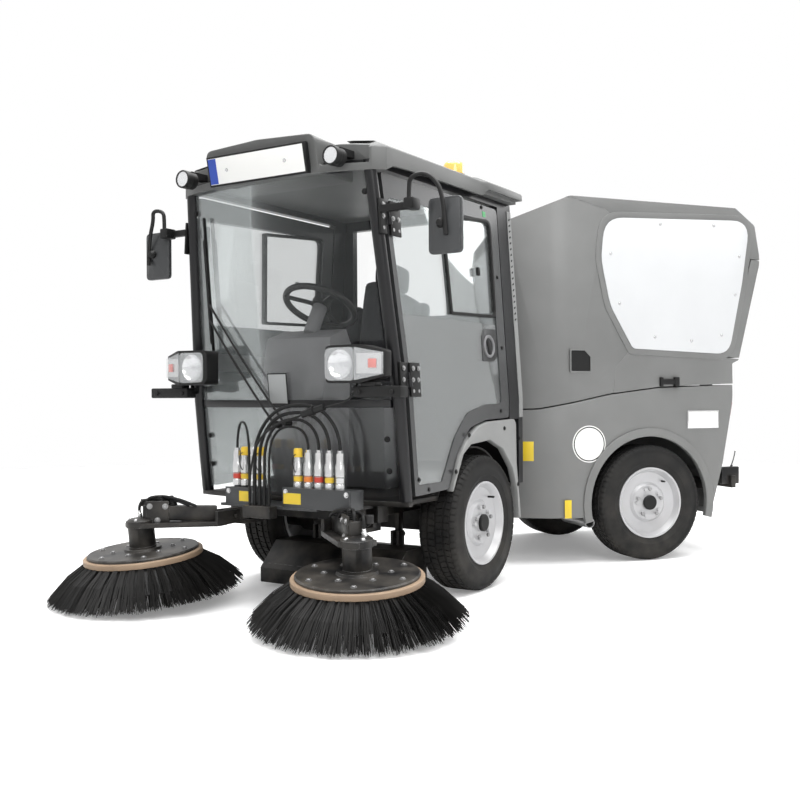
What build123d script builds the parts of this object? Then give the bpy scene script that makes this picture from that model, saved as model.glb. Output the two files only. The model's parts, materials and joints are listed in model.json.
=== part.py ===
from build123d import *
import os
from math import cos, radians, sin, sqrt

os.makedirs("parts", exist_ok=True)

# Compact street sweeper with a pivoting frame, in millimetres: +X forward, +Y left, +Z up.
# The front unit (cab, brooms) is drawn with the frame's pivot over the origin. The rear unit
# (engine, dirt hopper) is drawn straight behind it and is turned about the pivot when placed.
steer_at_rest = -39.0
box_centre_x = 406.0
box_centre_y = 206.0

# Running gear
front_axle_x = 970.0
rear_axle_x = -829.0
tyre_radius = 318.0
tyre_width = 195.0
wheel_plane_y = 522.0
rim_flange_radius = 195.0
rim_seat_radius = 181.0
rim_inner_radius = 166.0
rim_half_width = 88.0
wheel_disc_offset = 50.0
wheel_disc = 9.0
hub_bolt_circle = 150.0
hub_bolts = 5
spindle_radius = 30.0
running_clearance = 0.05
hub_motor_radius = 100.0
axle_beam = 100.0
axle_half_length = 330.0

# Frame
rail_y = 230.0
rail_width = 80.0
rail_height = 82.0
rail_bottom = tyre_radius + axle_beam / 2
rail_top = rail_bottom + rail_height
rail_middle = (rail_bottom + rail_top) / 2
front_rail_end = 1560.0
rear_rail_end = -1225.0
tail_beam_x = -1412.0
pivot_pin_radius = 40.0
pivot_boss_radius = 95.0
yoke_plate = 28.0
yoke_low = 250.0
yoke_play = 2.0

# Cab: its plan section is a straight-sided box with a bowed front, leaning forward as it rises
cab_rear_x = 505.0
floor_plate = 22.0
cab_bottom = rail_top + floor_plate
door_bottom = 491.0
cab_waist = 900.0
cab_top = 1888.0
cab_half_width = 585.0
cab_half_width_top = 517.0
post_x = 1590.0
post_lean = 0.1159
glass_bow = 85.0
cab_wall = 40.0
post_radius = 27.0
post_inset = 24.0
glass = 6.0
glass_gap = 7.0
bar_z = 885.0
bar_height = 34.0
door_wall = 36.0
door_gap = 7.0
door_top_gap = 15.0
tub_clearance = 32.0
tub_wall = 10.0
tub_inner_y = 404.0
fender_wall = 34.0
fender_proud = 14.0
roof_overhang = 22.0
roof_height = 98.0

# Brooms
broom_x = 1982.0
broom_y = 585.0
broom_tilt = 5.0
broom_lean = 2.0
broom_ground_gap = 4.0
bristle_drop = 180.0
bristle_tip_radius = 440.0
plate_radius = 245.0
ring_radius = 260.0
ring_height = 27.0
broom_plate = 12.0
broom_motor_radius = 58.0
broom_motor_height = 120.0
swing_pivot_x = 1622.0
swing_pivot_y = 330.0
swing_pin_radius = 18.0
lift_pivot_x = 1700.0
lift_pivot_z = 372.0
lift_pin_radius = 12.0

# Rear unit
body_half_width = 600.0
body_wall = 26.0
body_front_x = -30.0
seam = 7.0
tip_axis_x = -1412.0
tip_axis_z = 1050.0
tip_pin_radius = 14.0
tip_lug_y = 300.0
gate_axis_z = 1700.0
gate_axis_x = -1590.0
gate_lug_y = 350.0
gate_pin_radius = 9.0
arch_clearance = 50.0


def write(part, label, rear=False):
    """Turn a rear piece about the pivot, shift the machine over its own middle and save it."""
    turned = part.rotate(Axis.Z, steer_at_rest) if rear else part
    placed = turned.moved(Location((-box_centre_x, -box_centre_y, 0)))
    placed.label = label
    export_step(placed, f"parts/{label}.step")


sides = (("left", 1), ("right", -1))


# Wheels: the profile lies in the plane through the axle line, x across the wheel, y outwards
def wheel_plane(centre_x, side):
    return Plane(origin=(centre_x, side * wheel_plane_y, tyre_radius),
                 x_dir=(0, side, 0), z_dir=(side, 0, 0))


def axle_line(centre_x, side):
    return Axis((centre_x, side * wheel_plane_y, tyre_radius), (0, 1, 0))


bead_y = 75.0
tread_half = 72.0
shoulder = (90.0, 17.0)
bulge_radius = 256.0

for unit, centre_x in (("front", front_axle_x), ("rear", rear_axle_x)):
    for side_name, side in sides:
        with BuildPart() as tyre:
            with BuildSketch(wheel_plane(centre_x, side)):
                with BuildLine():
                    shoulder_low = (shoulder[0], tyre_radius - shoulder[1])
                    side_low = (shoulder[0] - 2, rim_flange_radius + 6)
                    Polyline((-bead_y, rim_seat_radius), (bead_y, rim_seat_radius),
                             (bead_y, rim_flange_radius + 2), side_low)
                    ThreePointArc(side_low, (tyre_width / 2, bulge_radius), shoulder_low)
                    Polyline(shoulder_low, (tread_half, tyre_radius), (-tread_half, tyre_radius),
                             (-shoulder[0], tyre_radius - shoulder[1]))
                    ThreePointArc((-shoulder[0], tyre_radius - shoulder[1]),
                                  (-tyre_width / 2, bulge_radius), (-side_low[0], side_low[1]))
                    Polyline((-side_low[0], side_low[1]), (-bead_y, rim_flange_radius + 2),
                             (-bead_y, rim_seat_radius))
                make_face()
            revolve(axis=axle_line(centre_x, side))
        write(tyre.part, f"tyre_{unit}_{side_name}", unit == "rear")

        with BuildPart() as rim:
            # barrel with its two flanges, dished disc and hub cap
            disc_out = wheel_disc_offset + wheel_disc
            with BuildSketch(wheel_plane(centre_x, side)):
                with BuildLine():
                    Polyline((-rim_half_width, rim_flange_radius - 10),
                             (-rim_half_width, rim_flange_radius),
                             (-bead_y - 1, rim_flange_radius), (-bead_y - 1, rim_seat_radius - 0.3),
                             (bead_y + 1, rim_seat_radius - 0.3), (bead_y + 1, rim_flange_radius),
                             (rim_half_width, rim_flange_radius),
                             (rim_half_width, rim_flange_radius - 10),
                             (disc_out, rim_inner_radius), (disc_out - 6, 110),
                             (disc_out + 8, 96), (disc_out + 8, 42),
                             (disc_out + 30, 38), (disc_out + 30, 0),
                             (disc_out + 26, 0), (disc_out + 26, spindle_radius + running_clearance),
                             (wheel_disc_offset + 8, spindle_radius + running_clearance),
                             (wheel_disc_offset + 8, 90), (wheel_disc_offset - 6, 104),
                             (wheel_disc_offset, rim_inner_radius),
                             (-bead_y, rim_inner_radius),
                             (-rim_half_width, rim_flange_radius - 10))
                make_face()
            revolve(axis=axle_line(centre_x, side))
            hub_face = Plane(origin=(centre_x, side * (wheel_plane_y + disc_out + 8), tyre_radius),
                             x_dir=(1, 0, 0), z_dir=(0, side, 0))
            with Locations(hub_face):
                with PolarLocations(hub_bolt_circle / 2, hub_bolts):
                    Cylinder(9, 14, align=(Align.CENTER, Align.CENTER, Align.MIN))
        write(rim.part, f"rim_{unit}_{side_name}", unit == "rear")

    # Axle: square beam, a hub motor at each end and a spindle that carries the wheel
    with BuildPart() as axle:
        with Locations((centre_x, 0, tyre_radius)):
            Box(axle_beam, 2 * axle_half_length, axle_beam)
            for side in (1, -1):
                motor_end = wheel_plane_y + wheel_disc_offset - 12
                with Locations((0, side * (axle_half_length + 430) / 2, 0)):
                    Cylinder(hub_motor_radius, 430 - axle_half_length, rotation=(90, 0, 0))
                with Locations((0, side * (430 + motor_end) / 2, 0)):
                    Cylinder(82, motor_end - 430, rotation=(90, 0, 0))
                spindle_end = wheel_plane_y + wheel_disc_offset + wheel_disc + 24
                with Locations((0, side * (motor_end + spindle_end) / 2, 0)):
                    Cylinder(spindle_radius, spindle_end - motor_end, rotation=(90, 0, 0))
    write(axle.part, f"{unit}_axle", unit == "rear")

mouth_axis_x = 1125.0
mouth_axis_z = 262.0
mouth_pin_radius = 10.0

# Front frame: two rails, cross members, broom carrier beam and the two yoke plates
yoke_reach = 300.0
cross_x = 1500.0
with BuildPart() as front_frame:
    for side in (1, -1):
        with Locations(((yoke_reach + front_rail_end) / 2, side * rail_y, rail_middle)):
            Box(front_rail_end - yoke_reach, rail_width, rail_height)
    for x, half in ((yoke_reach - 40, rail_y + rail_width / 2), (cross_x + 20, 400)):
        with Locations((x, 0, rail_middle)):
            Box(80, 2 * half, rail_height)
    with Locations((yoke_reach - 40, 0, (yoke_low + rail_top) / 2)):
        Box(80, 2 * (rail_y + rail_width / 2), rail_top - yoke_low)
    for low in (yoke_low, rail_top - yoke_plate):
        with BuildSketch(Plane.XY.offset(low)):
            with BuildLine():
                Polyline((yoke_reach - 80, rail_y), (yoke_reach - 80, -rail_y), (0, -pivot_boss_radius))
                ThreePointArc((0, -pivot_boss_radius), (-pivot_boss_radius, 0), (0, pivot_boss_radius))
                Line((0, pivot_boss_radius), (yoke_reach - 80, rail_y))
            make_face()
            Circle(pivot_pin_radius + running_clearance, mode=Mode.SUBTRACT)
        extrude(amount=yoke_plate)
    # hangers of the suction mouth
    for side in (1, -1):
        with Locations((mouth_axis_x, side * rail_y, (mouth_axis_z - 20 + rail_bottom) / 2)):
            Box(40, 20, rail_bottom - mouth_axis_z + 20)
        with Locations((mouth_axis_x, side * rail_y, mouth_axis_z)):
            Cylinder(mouth_pin_radius, 60, rotation=(90, 0, 0))
    # lugs that hold the broom arms' upright pins
    for side in (1, -1):
        with Locations((swing_pivot_x - 30, side * swing_pivot_y, 0)):
            for low in (330.0, 450.0 - 18):
                with Locations((-10, 0, low + 9)):
                    Box(120, 90, 18)
        with Locations((front_rail_end - 30, side * swing_pivot_y, 390)):
            Box(60, 90, 120)
        with Locations((swing_pivot_x, side * swing_pivot_y, 390)):
            Cylinder(swing_pin_radius, 120)
write(front_frame.part, "front_frame")

# Rear frame: tongue with the pivot pin, cross member, two rails and the tipping hinge's posts
tongue_half = 90.0
tongue_end = -300.0
with BuildPart() as rear_frame:
    tongue_low = yoke_low + yoke_plate + yoke_play
    tongue_high = rail_top - yoke_plate - yoke_play
    with Locations((tongue_end / 2, 0, (tongue_low + tongue_high) / 2)):
        Box(-tongue_end, 2 * tongue_half, tongue_high - tongue_low)
    with Locations((0, 0, (tongue_low + tongue_high) / 2)):
        Cylinder(tongue_half, tongue_high - tongue_low)
    with Locations((0, 0, (yoke_low + rail_top) / 2)):
        Cylinder(pivot_pin_radius, rail_top - yoke_low + 16)
    with Locations((tongue_end - 40, 0, (tongue_low + rail_top) / 2)):
        Box(80, 2 * (rail_y + rail_width / 2), rail_top - tongue_low)
    for side in (1, -1):
        with Locations(((tongue_end + rear_rail_end) / 2, side * rail_y, rail_middle)):
            Box(tongue_end - rear_rail_end, rail_width, rail_height)
        # outriggers that carry the body skins
        for x in (-430.0, rear_rail_end + 10):
            outrigger = body_half_width - body_wall - 0.3
            with Locations((x, side * (rail_y + outrigger) / 2, rail_middle)):
                Box(40, outrigger - rail_y, 60)
        # tail beam's stays, and the uprights with the tipping hinge's ears
        with Locations(((rear_rail_end + tail_beam_x) / 2, side * rail_y, rail_middle)):
            Box(rear_rail_end - tail_beam_x, rail_width / 2, rail_height / 2)
        for ear in (1, -1):
            with Locations((tip_axis_x, side * tip_lug_y + ear * 30, (rail_bottom + tip_axis_z) / 2)):
                Box(40, 14, tip_axis_z - rail_bottom)
            with Locations((tip_axis_x, side * tip_lug_y + ear * 30, tip_axis_z)):
                Cylinder(20, 14, rotation=(90, 0, 0))
        with Locations((tip_axis_x, side * tip_lug_y, tip_axis_z)):
            Cylinder(tip_pin_radius, 90, rotation=(90, 0, 0))
    with Locations((tail_beam_x, 0, rail_middle)):
        Box(60, 2 * (tip_lug_y + 50), rail_height)
write(rear_frame.part, "rear_frame", True)


# Cab volume: plan sections lofted from the sill to the waist and from the waist to the roof
def cab_width_at(z):
    if z <= cab_waist:
        return cab_half_width
    rise = (z - cab_waist) / (cab_top - cab_waist)
    return cab_half_width + rise * (cab_half_width_top - cab_half_width)


def post_x_at(z):
    return post_x + post_lean * (z - 500)


def post_y_at(z):
    return cab_width_at(z) - post_inset


def cab_section(z, inset):
    half = cab_width_at(z)
    front = post_x_at(z)
    with BuildSketch(Plane.XY.offset(z)) as section:
        with BuildLine():
            Polyline((front, half), (cab_rear_x, half), (cab_rear_x, -half), (front, -half))
            ThreePointArc((front, -half), (front + glass_bow, 0), (front, half))
        make_face()
        if inset:
            offset(amount=-inset, kind=Kind.INTERSECTION)
    return section.sketch


def cab_volume(inset, low=cab_bottom, high=cab_top):
    with BuildPart() as volume:
        loft([cab_section(low, inset).face(), cab_section(cab_waist, inset).face()])
        loft([cab_section(cab_waist, inset).face(), cab_section(high, inset).face()])
    return volume.part


def side_outline(points):
    """A closed outline seen from the left, cut through the whole width."""
    with BuildPart() as block:
        with BuildSketch(Plane.XZ):
            with BuildLine():
                Polyline(*points, close=True)
            make_face()
        extrude(amount=cab_half_width + 100, both=True)
    return block.part


door_rear_x = 660.0
door_top_z = 1843.0
door_step_z = 806.0
door_post_gap = 12.0
lip = ((1264.0, 500.0), (1190.0, 640.0), (1110.0, 725.0), (1000.0, 782.0), (906.0, 800.0))


def door_outline(grow, grow_top):
    """Door edge: front parallel to the post, bottom round the wheel arch."""
    low = door_bottom - grow
    top = door_top_z + grow_top
    behind_post = post_radius + door_post_gap - grow
    arch = [(x, z - grow) for x, z in lip]
    return side_outline([(post_x_at(low) - behind_post, low), (arch[0][0], low)] + arch
                        + [(door_rear_x - grow, door_step_z - grow), (door_rear_x - grow, top),
                           (post_x_at(top) - behind_post, top)])


window = ((1512.0, 1735.0), (745.0, 1775.0), (765.0, 1303.0), (1462.0, 1278.0))
window_block = side_outline(window)

with BuildPart() as wall_cut:
    add(cab_volume(cab_wall, cab_bottom - 1, cab_top + 1))

fender_top = 797.0

# Door hinges: two knuckles on each post's pins, on an axis parallel to the post
hinge_heights = (985.0, 1655.0)
hinge_outboard = 16.0
hinge_back = 36.0
knuckle_radius = 11.0
knuckle_height = 30.0
hinge_pin_radius = 5.0
hinge_clearance = 0.1


def hinge_plane(side, z):
    foot = Vector(post_x_at(cab_waist) - hinge_back, side * (cab_half_width + hinge_outboard), cab_waist)
    head = Vector(post_x_at(cab_top) - hinge_back, side * (cab_half_width_top + hinge_outboard), cab_top)
    rise = (z - cab_waist) / (cab_top - cab_waist)
    axis = (head - foot).normalized()
    return Plane(origin=foot + (head - foot) * rise, x_dir=(1, 0, -axis.X / axis.Z), z_dir=axis)


# Cab frame: rear wall with its window, pillars, roof rails, screen header and the cross bar
rear_window = (870.0, 1340.0, 1835.0)
screen_top = 1850.0
with BuildPart() as cab_frame:
    add(cab_volume(0))
    add(wall_cut.part, mode=Mode.SUBTRACT)
    add(door_outline(door_gap, door_top_gap), mode=Mode.SUBTRACT)
    # front opening between the posts
    with BuildSketch(Plane.YZ.offset(post_x - 140)):
        with Locations((0, screen_top)):
            Rectangle(4 * cab_half_width, 3000, align=(Align.CENTER, Align.MAX))
    extrude(amount=600, mode=Mode.SUBTRACT)
    # wheel arch and open lower side
    with Locations((1000, 0, fender_top + 0.3)):
        Box(900, 1400, 400, align=(Align.CENTER, Align.CENTER, Align.MAX), mode=Mode.SUBTRACT)
    with Locations((cab_rear_x, 0, (rear_window[1] + rear_window[2]) / 2)):
        Box(200, rear_window[0], rear_window[2] - rear_window[1], mode=Mode.SUBTRACT)
    for side in (1, -1):
        foot, waist, head = [Vector(post_x_at(z), side * post_y_at(z), z)
                             for z in (cab_bottom - 20, cab_waist, cab_top)]
        with BuildSketch(Plane(origin=foot, z_dir=waist - foot)):
            Circle(post_radius)
        extrude(amount=(waist - foot).length)
        with BuildSketch(Plane(origin=waist, z_dir=head - waist)):
            Circle(post_radius)
        extrude(amount=(head - waist).length)
        with Locations(waist):
            Sphere(post_radius)
        for z in hinge_heights:
            plane = hinge_plane(side, z)
            with BuildSketch(plane.offset(-knuckle_height)):
                Circle(knuckle_radius)
                arm_end = hinge_outboard + post_inset
                Polygon((-8, -side * 4), (8, side * 2), (hinge_back + 8, -side * (arm_end - 4)),
                        (hinge_back - 14, -side * (arm_end + 2)), align=None)
            extrude(amount=knuckle_height)
            with BuildSketch(plane.offset(-knuckle_height)):
                Circle(hinge_pin_radius)
            extrude(amount=2 * knuckle_height)
    # trim the posts level with the floor and the roof
    with Locations((1600, 0, cab_bottom)):
        Box(400, 1400, 100, align=(Align.CENTER, Align.CENTER, Align.MAX), mode=Mode.SUBTRACT)
    with Locations((1700, 0, cab_top)):
        Box(400, 1400, 100, align=(Align.CENTER, Align.CENTER, Align.MIN), mode=Mode.SUBTRACT)
write(cab_frame.part, "cab_frame")

# Floor with the two wheel tubs
tub_radius = tyre_radius + tub_clearance
sill_y = cab_half_width - cab_wall
nose_x = post_x + 10
with BuildPart() as cab_floor:
    with BuildSketch(Plane.XY.offset(rail_top)):
        with BuildLine():
            Polyline((cab_rear_x, sill_y), (nose_x - 30, sill_y), (nose_x - 30, cab_half_width),
                     (nose_x, cab_half_width))
            ThreePointArc((nose_x, cab_half_width), (nose_x + glass_bow - 20, 0), (nose_x, -cab_half_width))
            Polyline((nose_x, -cab_half_width), (nose_x - 30, -cab_half_width), (nose_x - 30, -sill_y),
                     (cab_rear_x, -sill_y), (cab_rear_x, sill_y))
        make_face()
    extrude(amount=floor_plate)
    for side in (1, -1):
        with Locations((front_axle_x, side * (tub_inner_y + sill_y) / 2, tyre_radius)):
            Cylinder(tub_radius + tub_wall, sill_y - tub_inner_y, rotation=(90, 0, 0))
        with Locations((front_axle_x, side * (tub_inner_y + tub_wall), tyre_radius)):
            Cylinder(tub_radius, 300, rotation=(-90 * side, 0, 0), align=(Align.CENTER, Align.CENTER, Align.MIN),
                     mode=Mode.SUBTRACT)
    with Locations((front_axle_x, 0, rail_top)):
        Box(2 * tub_radius + 100, 1400, 2 * tub_radius,
            align=(Align.CENTER, Align.CENTER, Align.MAX), mode=Mode.SUBTRACT)
write(cab_floor.part, "cab_floor")

# Front fenders: a skin over each front wheel with the flat-topped arch
fender_gap = 9.0
arch = ((1244.0, 488.0), (1152.0, 648.0), (1080.0, 690.0), (888.0, 704.0),
        (750.0, 655.0), (645.0, 555.0), (592.0, 440.0), (578.0, 300.0))
with BuildPart() as fenders:
    for side in (1, -1):
        inner_face = cab_half_width - fender_wall + fender_proud
        with BuildSketch(Plane.XZ.offset(-side * inner_face)):
            with BuildLine():
                Polyline((1256.0, 488.0), *[(x, z - fender_gap) for x, z in lip[1:]],
                         (door_rear_x, fender_top), (625.0, fender_top), (606.0, 775.0),
                         (600.0, 576.0), (552.0, 300.0), *reversed(arch), close=True)
            make_face()
        extrude(amount=-side * fender_wall)
write(fenders.part, "fenders")

# Doors: a slice of the cab wall with the window cut and the ring handle let in
handle = (838.0, 1153.0)
handle_radius = 55.0
with BuildPart() as door_skin:
    add(cab_volume(0))
    add(cab_volume(door_wall), mode=Mode.SUBTRACT)
    add(door_outline(0, 0), mode=Mode.INTERSECT)
    add(window_block, mode=Mode.SUBTRACT)
    with Locations((handle[0], 0, handle[1])):
        Cylinder(handle_radius - 14, 1400, rotation=(90, 0, 0), mode=Mode.SUBTRACT)
with BuildPart() as pane_skin:
    add(cab_volume(12))
    add(cab_volume(12 + glass), mode=Mode.SUBTRACT)
    add(window_block, mode=Mode.INTERSECT)
for side_name, side in sides:
    with BuildPart() as door:
        add(door_skin.part)
        with Locations((1000, side * 600, 1000)):
            Box(2000, 1000, 3000, mode=Mode.INTERSECT)
        for z in hinge_heights:
            plane = hinge_plane(side, z)
            with BuildSketch(plane.offset(0.3)):
                leaf = hinge_outboard + 1.5
                Circle(knuckle_radius)
                Polygon((0, -side * 8), (0, -side * leaf), (-75, -side * leaf), (-75, -side * 8), align=None)
                Circle(hinge_pin_radius + hinge_clearance, mode=Mode.SUBTRACT)
            extrude(amount=knuckle_height)
    write(door.part, f"door_{side_name}")
    with BuildPart() as pane:
        add(pane_skin.part)
        with Locations((1000, side * 600, 1000)):
            Box(2000, 1000, 3000, mode=Mode.INTERSECT)
    write(pane.part, f"door_glass_{side_name}")

# Screens: the bowed upper screen, the lower screen under the bar and the flat rear window
with BuildPart() as screens:
    for low, high in ((cab_bottom + 20, bar_z - bar_height / 2), (bar_z + bar_height / 2, screen_top)):
        foot_half, head_half = [post_y_at(z) - post_radius - glass_gap for z in (low, high)]
        with BuildSketch(Plane.YZ.offset(post_x - 140)):
            Polygon((-foot_half, low), (foot_half, low), (head_half, high), (-head_half, high), align=None)
        extrude(amount=600)
    add(cab_volume(4), mode=Mode.INTERSECT)
    add(cab_volume(4 + glass), mode=Mode.SUBTRACT)
    with Locations((cab_rear_x + 20, 0, (rear_window[1] + rear_window[2]) / 2)):
        Box(glass, rear_window[0], rear_window[2] - rear_window[1])
write(screens.part, "cab_glass")

# Cross bar between the two screens, bowed as the glass
with BuildPart() as bar:
    with BuildSketch(Plane.YZ.offset(post_x - 140)):
        with Locations((0, bar_z)):
            Rectangle(2 * (post_y_at(bar_z) - post_radius - glass_gap), bar_height - 1)
    extrude(amount=600)
    add(cab_volume(0), mode=Mode.INTERSECT)
    add(cab_volume(26), mode=Mode.SUBTRACT)
write(bar.part, "screen_bar")

plate_foot = (1838.0, 1844.0)
plate_head = (1865.0, 1969.0)
lamp_y = 408.0


def plate_x_at(z):
    slope = (plate_head[0] - plate_foot[0]) / (plate_head[1] - plate_foot[1])
    return plate_foot[0] + (z - plate_foot[1]) * slope


# Roof: a moulded cap that overhangs the cab, with a raised hood for the number plate
with BuildPart() as roof:
    loft([cab_section(cab_top, -roof_overhang).face(),
          cab_section(cab_top + 55, -roof_overhang).face()], ruled=True)
    loft([cab_section(cab_top + 55, -roof_overhang).face(),
          cab_section(cab_top + roof_height, 45).face()], ruled=True)
    with BuildSketch(Plane.XZ.offset(-350)):
        Polygon((1650, 1900), (1650, 1990), (plate_x_at(1996), 1996), (plate_x_at(cab_top), cab_top),
                (1800, cab_top), align=None)
    extrude(amount=700)
    with BuildSketch(Plane.XZ.offset(-350)):
        Polygon((plate_x_at(1800), 1800), (plate_x_at(2050), 2050), (2100, 2050), (2100, 1800), align=None)
    extrude(amount=700, mode=Mode.SUBTRACT)
    for side in (1, -1):
        with Locations((1790, side * lamp_y, 1912)):
            Box(80, 40.6, 30.6, mode=Mode.SUBTRACT)
write(roof.part, "roof")

# Number plate holder and the blank plate on the hood
with BuildPart() as plate:
    with BuildSketch(Plane.XZ.offset(-265)):
        Polygon((plate_foot[0] + 0.3, plate_foot[1]), (plate_head[0] + 0.3, plate_head[1]),
                (plate_head[0] + 13.5, plate_head[1] - 2), (plate_foot[0] + 13.5, plate_foot[1] - 2), align=None)
    extrude(amount=530)
write(plate.part, "plate_holder")

# Round work lights each side of the plate and the beacon at the rear of the roof
with BuildPart() as roof_lamps:
    for side in (1, -1):
        with Locations((1870, side * lamp_y, 1888)):
            Cylinder(38, 60, rotation=(0, 90, 0))
        with Locations((1812, side * lamp_y, 1912)):
            Box(100, 40, 30)
    with Locations((700, 300, cab_top + roof_height)):
        Cylinder(50, 70, align=(Align.CENTER, Align.CENTER, Align.MIN))
write(roof_lamps.part, "roof_lamps")

# Headlamps on brackets from the posts
bracket_z = 945.0
with BuildPart() as headlamps:
    for side in (1, -1):
        bracket_y = side * post_y_at(bracket_z)
        bracket_start = post_x_at(bracket_z) + post_radius + 2.2
        with Locations((1800, bracket_y - side * 88, 1050)):
            Box(110, 280, 150)
        with Locations((1800, bracket_y - side * 18, 960)):
            Box(60, 60, 40)
        with Locations(((bracket_start + 1830) / 2, bracket_y - side * 3, bracket_z)):
            Box(1830 - bracket_start, 40, 30)
write(headlamps.part, "headlamps")

# Mirrors on bent tube arms
mirror_root_z = 1690.0
with BuildPart() as mirrors:
    for side, x, y, z in ((1, 1750, 820, 1588), (-1, 1700, -790, 1588)):
        root_y = post_y_at(mirror_root_z) + post_radius + 4.4
        with BuildLine() as arm:
            FilletPolyline((post_x_at(mirror_root_z), side * root_y, mirror_root_z),
                           (1745, side * (root_y + 82), 1740), (1775, side * (root_y + 162), 1775),
                           (x - 25, y, z + 90), (x - 25, y, z), radius=40)
        with BuildSketch(Plane(origin=arm.line @ 0, z_dir=arm.line % 0)):
            Circle(9)
        sweep(path=arm.line)
        with Locations((x, y, z)):
            Box(50, 150, 218)
write(mirrors.part, "mirrors")

# Inside the cab: dashboard, column and wheel, seat on its box
with BuildPart() as console:
    with BuildSketch(Plane.XZ.offset(-180)):
        Polygon((1480, 472), (1640, 472), (1660, 900), (1600, 1180), (1480, 1220), (1440, 1150), align=None)
    extrude(amount=360)
    with BuildSketch(Plane(origin=(1510, 0, 1200), z_dir=(-0.5, 0, 0.866))):
        Circle(34)
    extrude(amount=152)
write(console.part, "dashboard")

with BuildPart() as steering_wheel:
    hub = Plane(origin=(1510 - 75 - 1, 0, 1200 + 130 + 2), z_dir=(-0.5, 0, 0.866), x_dir=(0, 1, 0))
    with Locations(hub):
        Torus(165, 15)
        Cylinder(44, 26, align=(Align.CENTER, Align.CENTER, Align.MIN))
        for turn in (90, 210, 330):
            with Locations(Location((0, 0, 8), (0, 0, turn))):
                Box(170, 24, 10, align=(Align.MIN, Align.CENTER, Align.CENTER))
write(steering_wheel.part, "steering_wheel")

seat_y = -40.0
with BuildPart() as seat:
    with BuildSketch(Plane.XZ.offset(-seat_y - 240)):
        Polygon((660, 880), (1200, 900), (1200, 1000), (800, 985), (730, 1480), (640, 1480), (620, 900),
                align=None)
    extrude(amount=480)
    with Locations((700, seat_y, 1540)):
        Box(80, 290, 160)
write(seat.part, "seat")

with BuildPart() as seat_box:
    with Locations((910, seat_y, (rail_top + floor_plate + 880) / 2)):
        Box(520, 440, 880 - rail_top - floor_plate)
write(seat_box.part, "seat_box")

# Hydraulic valve blocks with upright couplers, on a shelf in front of the frame
with BuildPart() as valves:
    with Locations((1700, 15, rail_top - 6)):
        Box(280, 530, 12)
    for y, length, height in ((-125, 180, 70), (280, 350, 80)):
        with Locations((1795, y, rail_top)):
            Box(90, length, height, align=(Align.CENTER, Align.CENTER, Align.MIN))
    for y in (-190, -145, -100, -55, 150, 205, 260, 315, 370):
        with Locations((1795, y, rail_top + 60)):
            Cylinder(15, 170, align=(Align.CENTER, Align.CENTER, Align.MIN))
write(valves.part, "valve_blocks")

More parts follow.
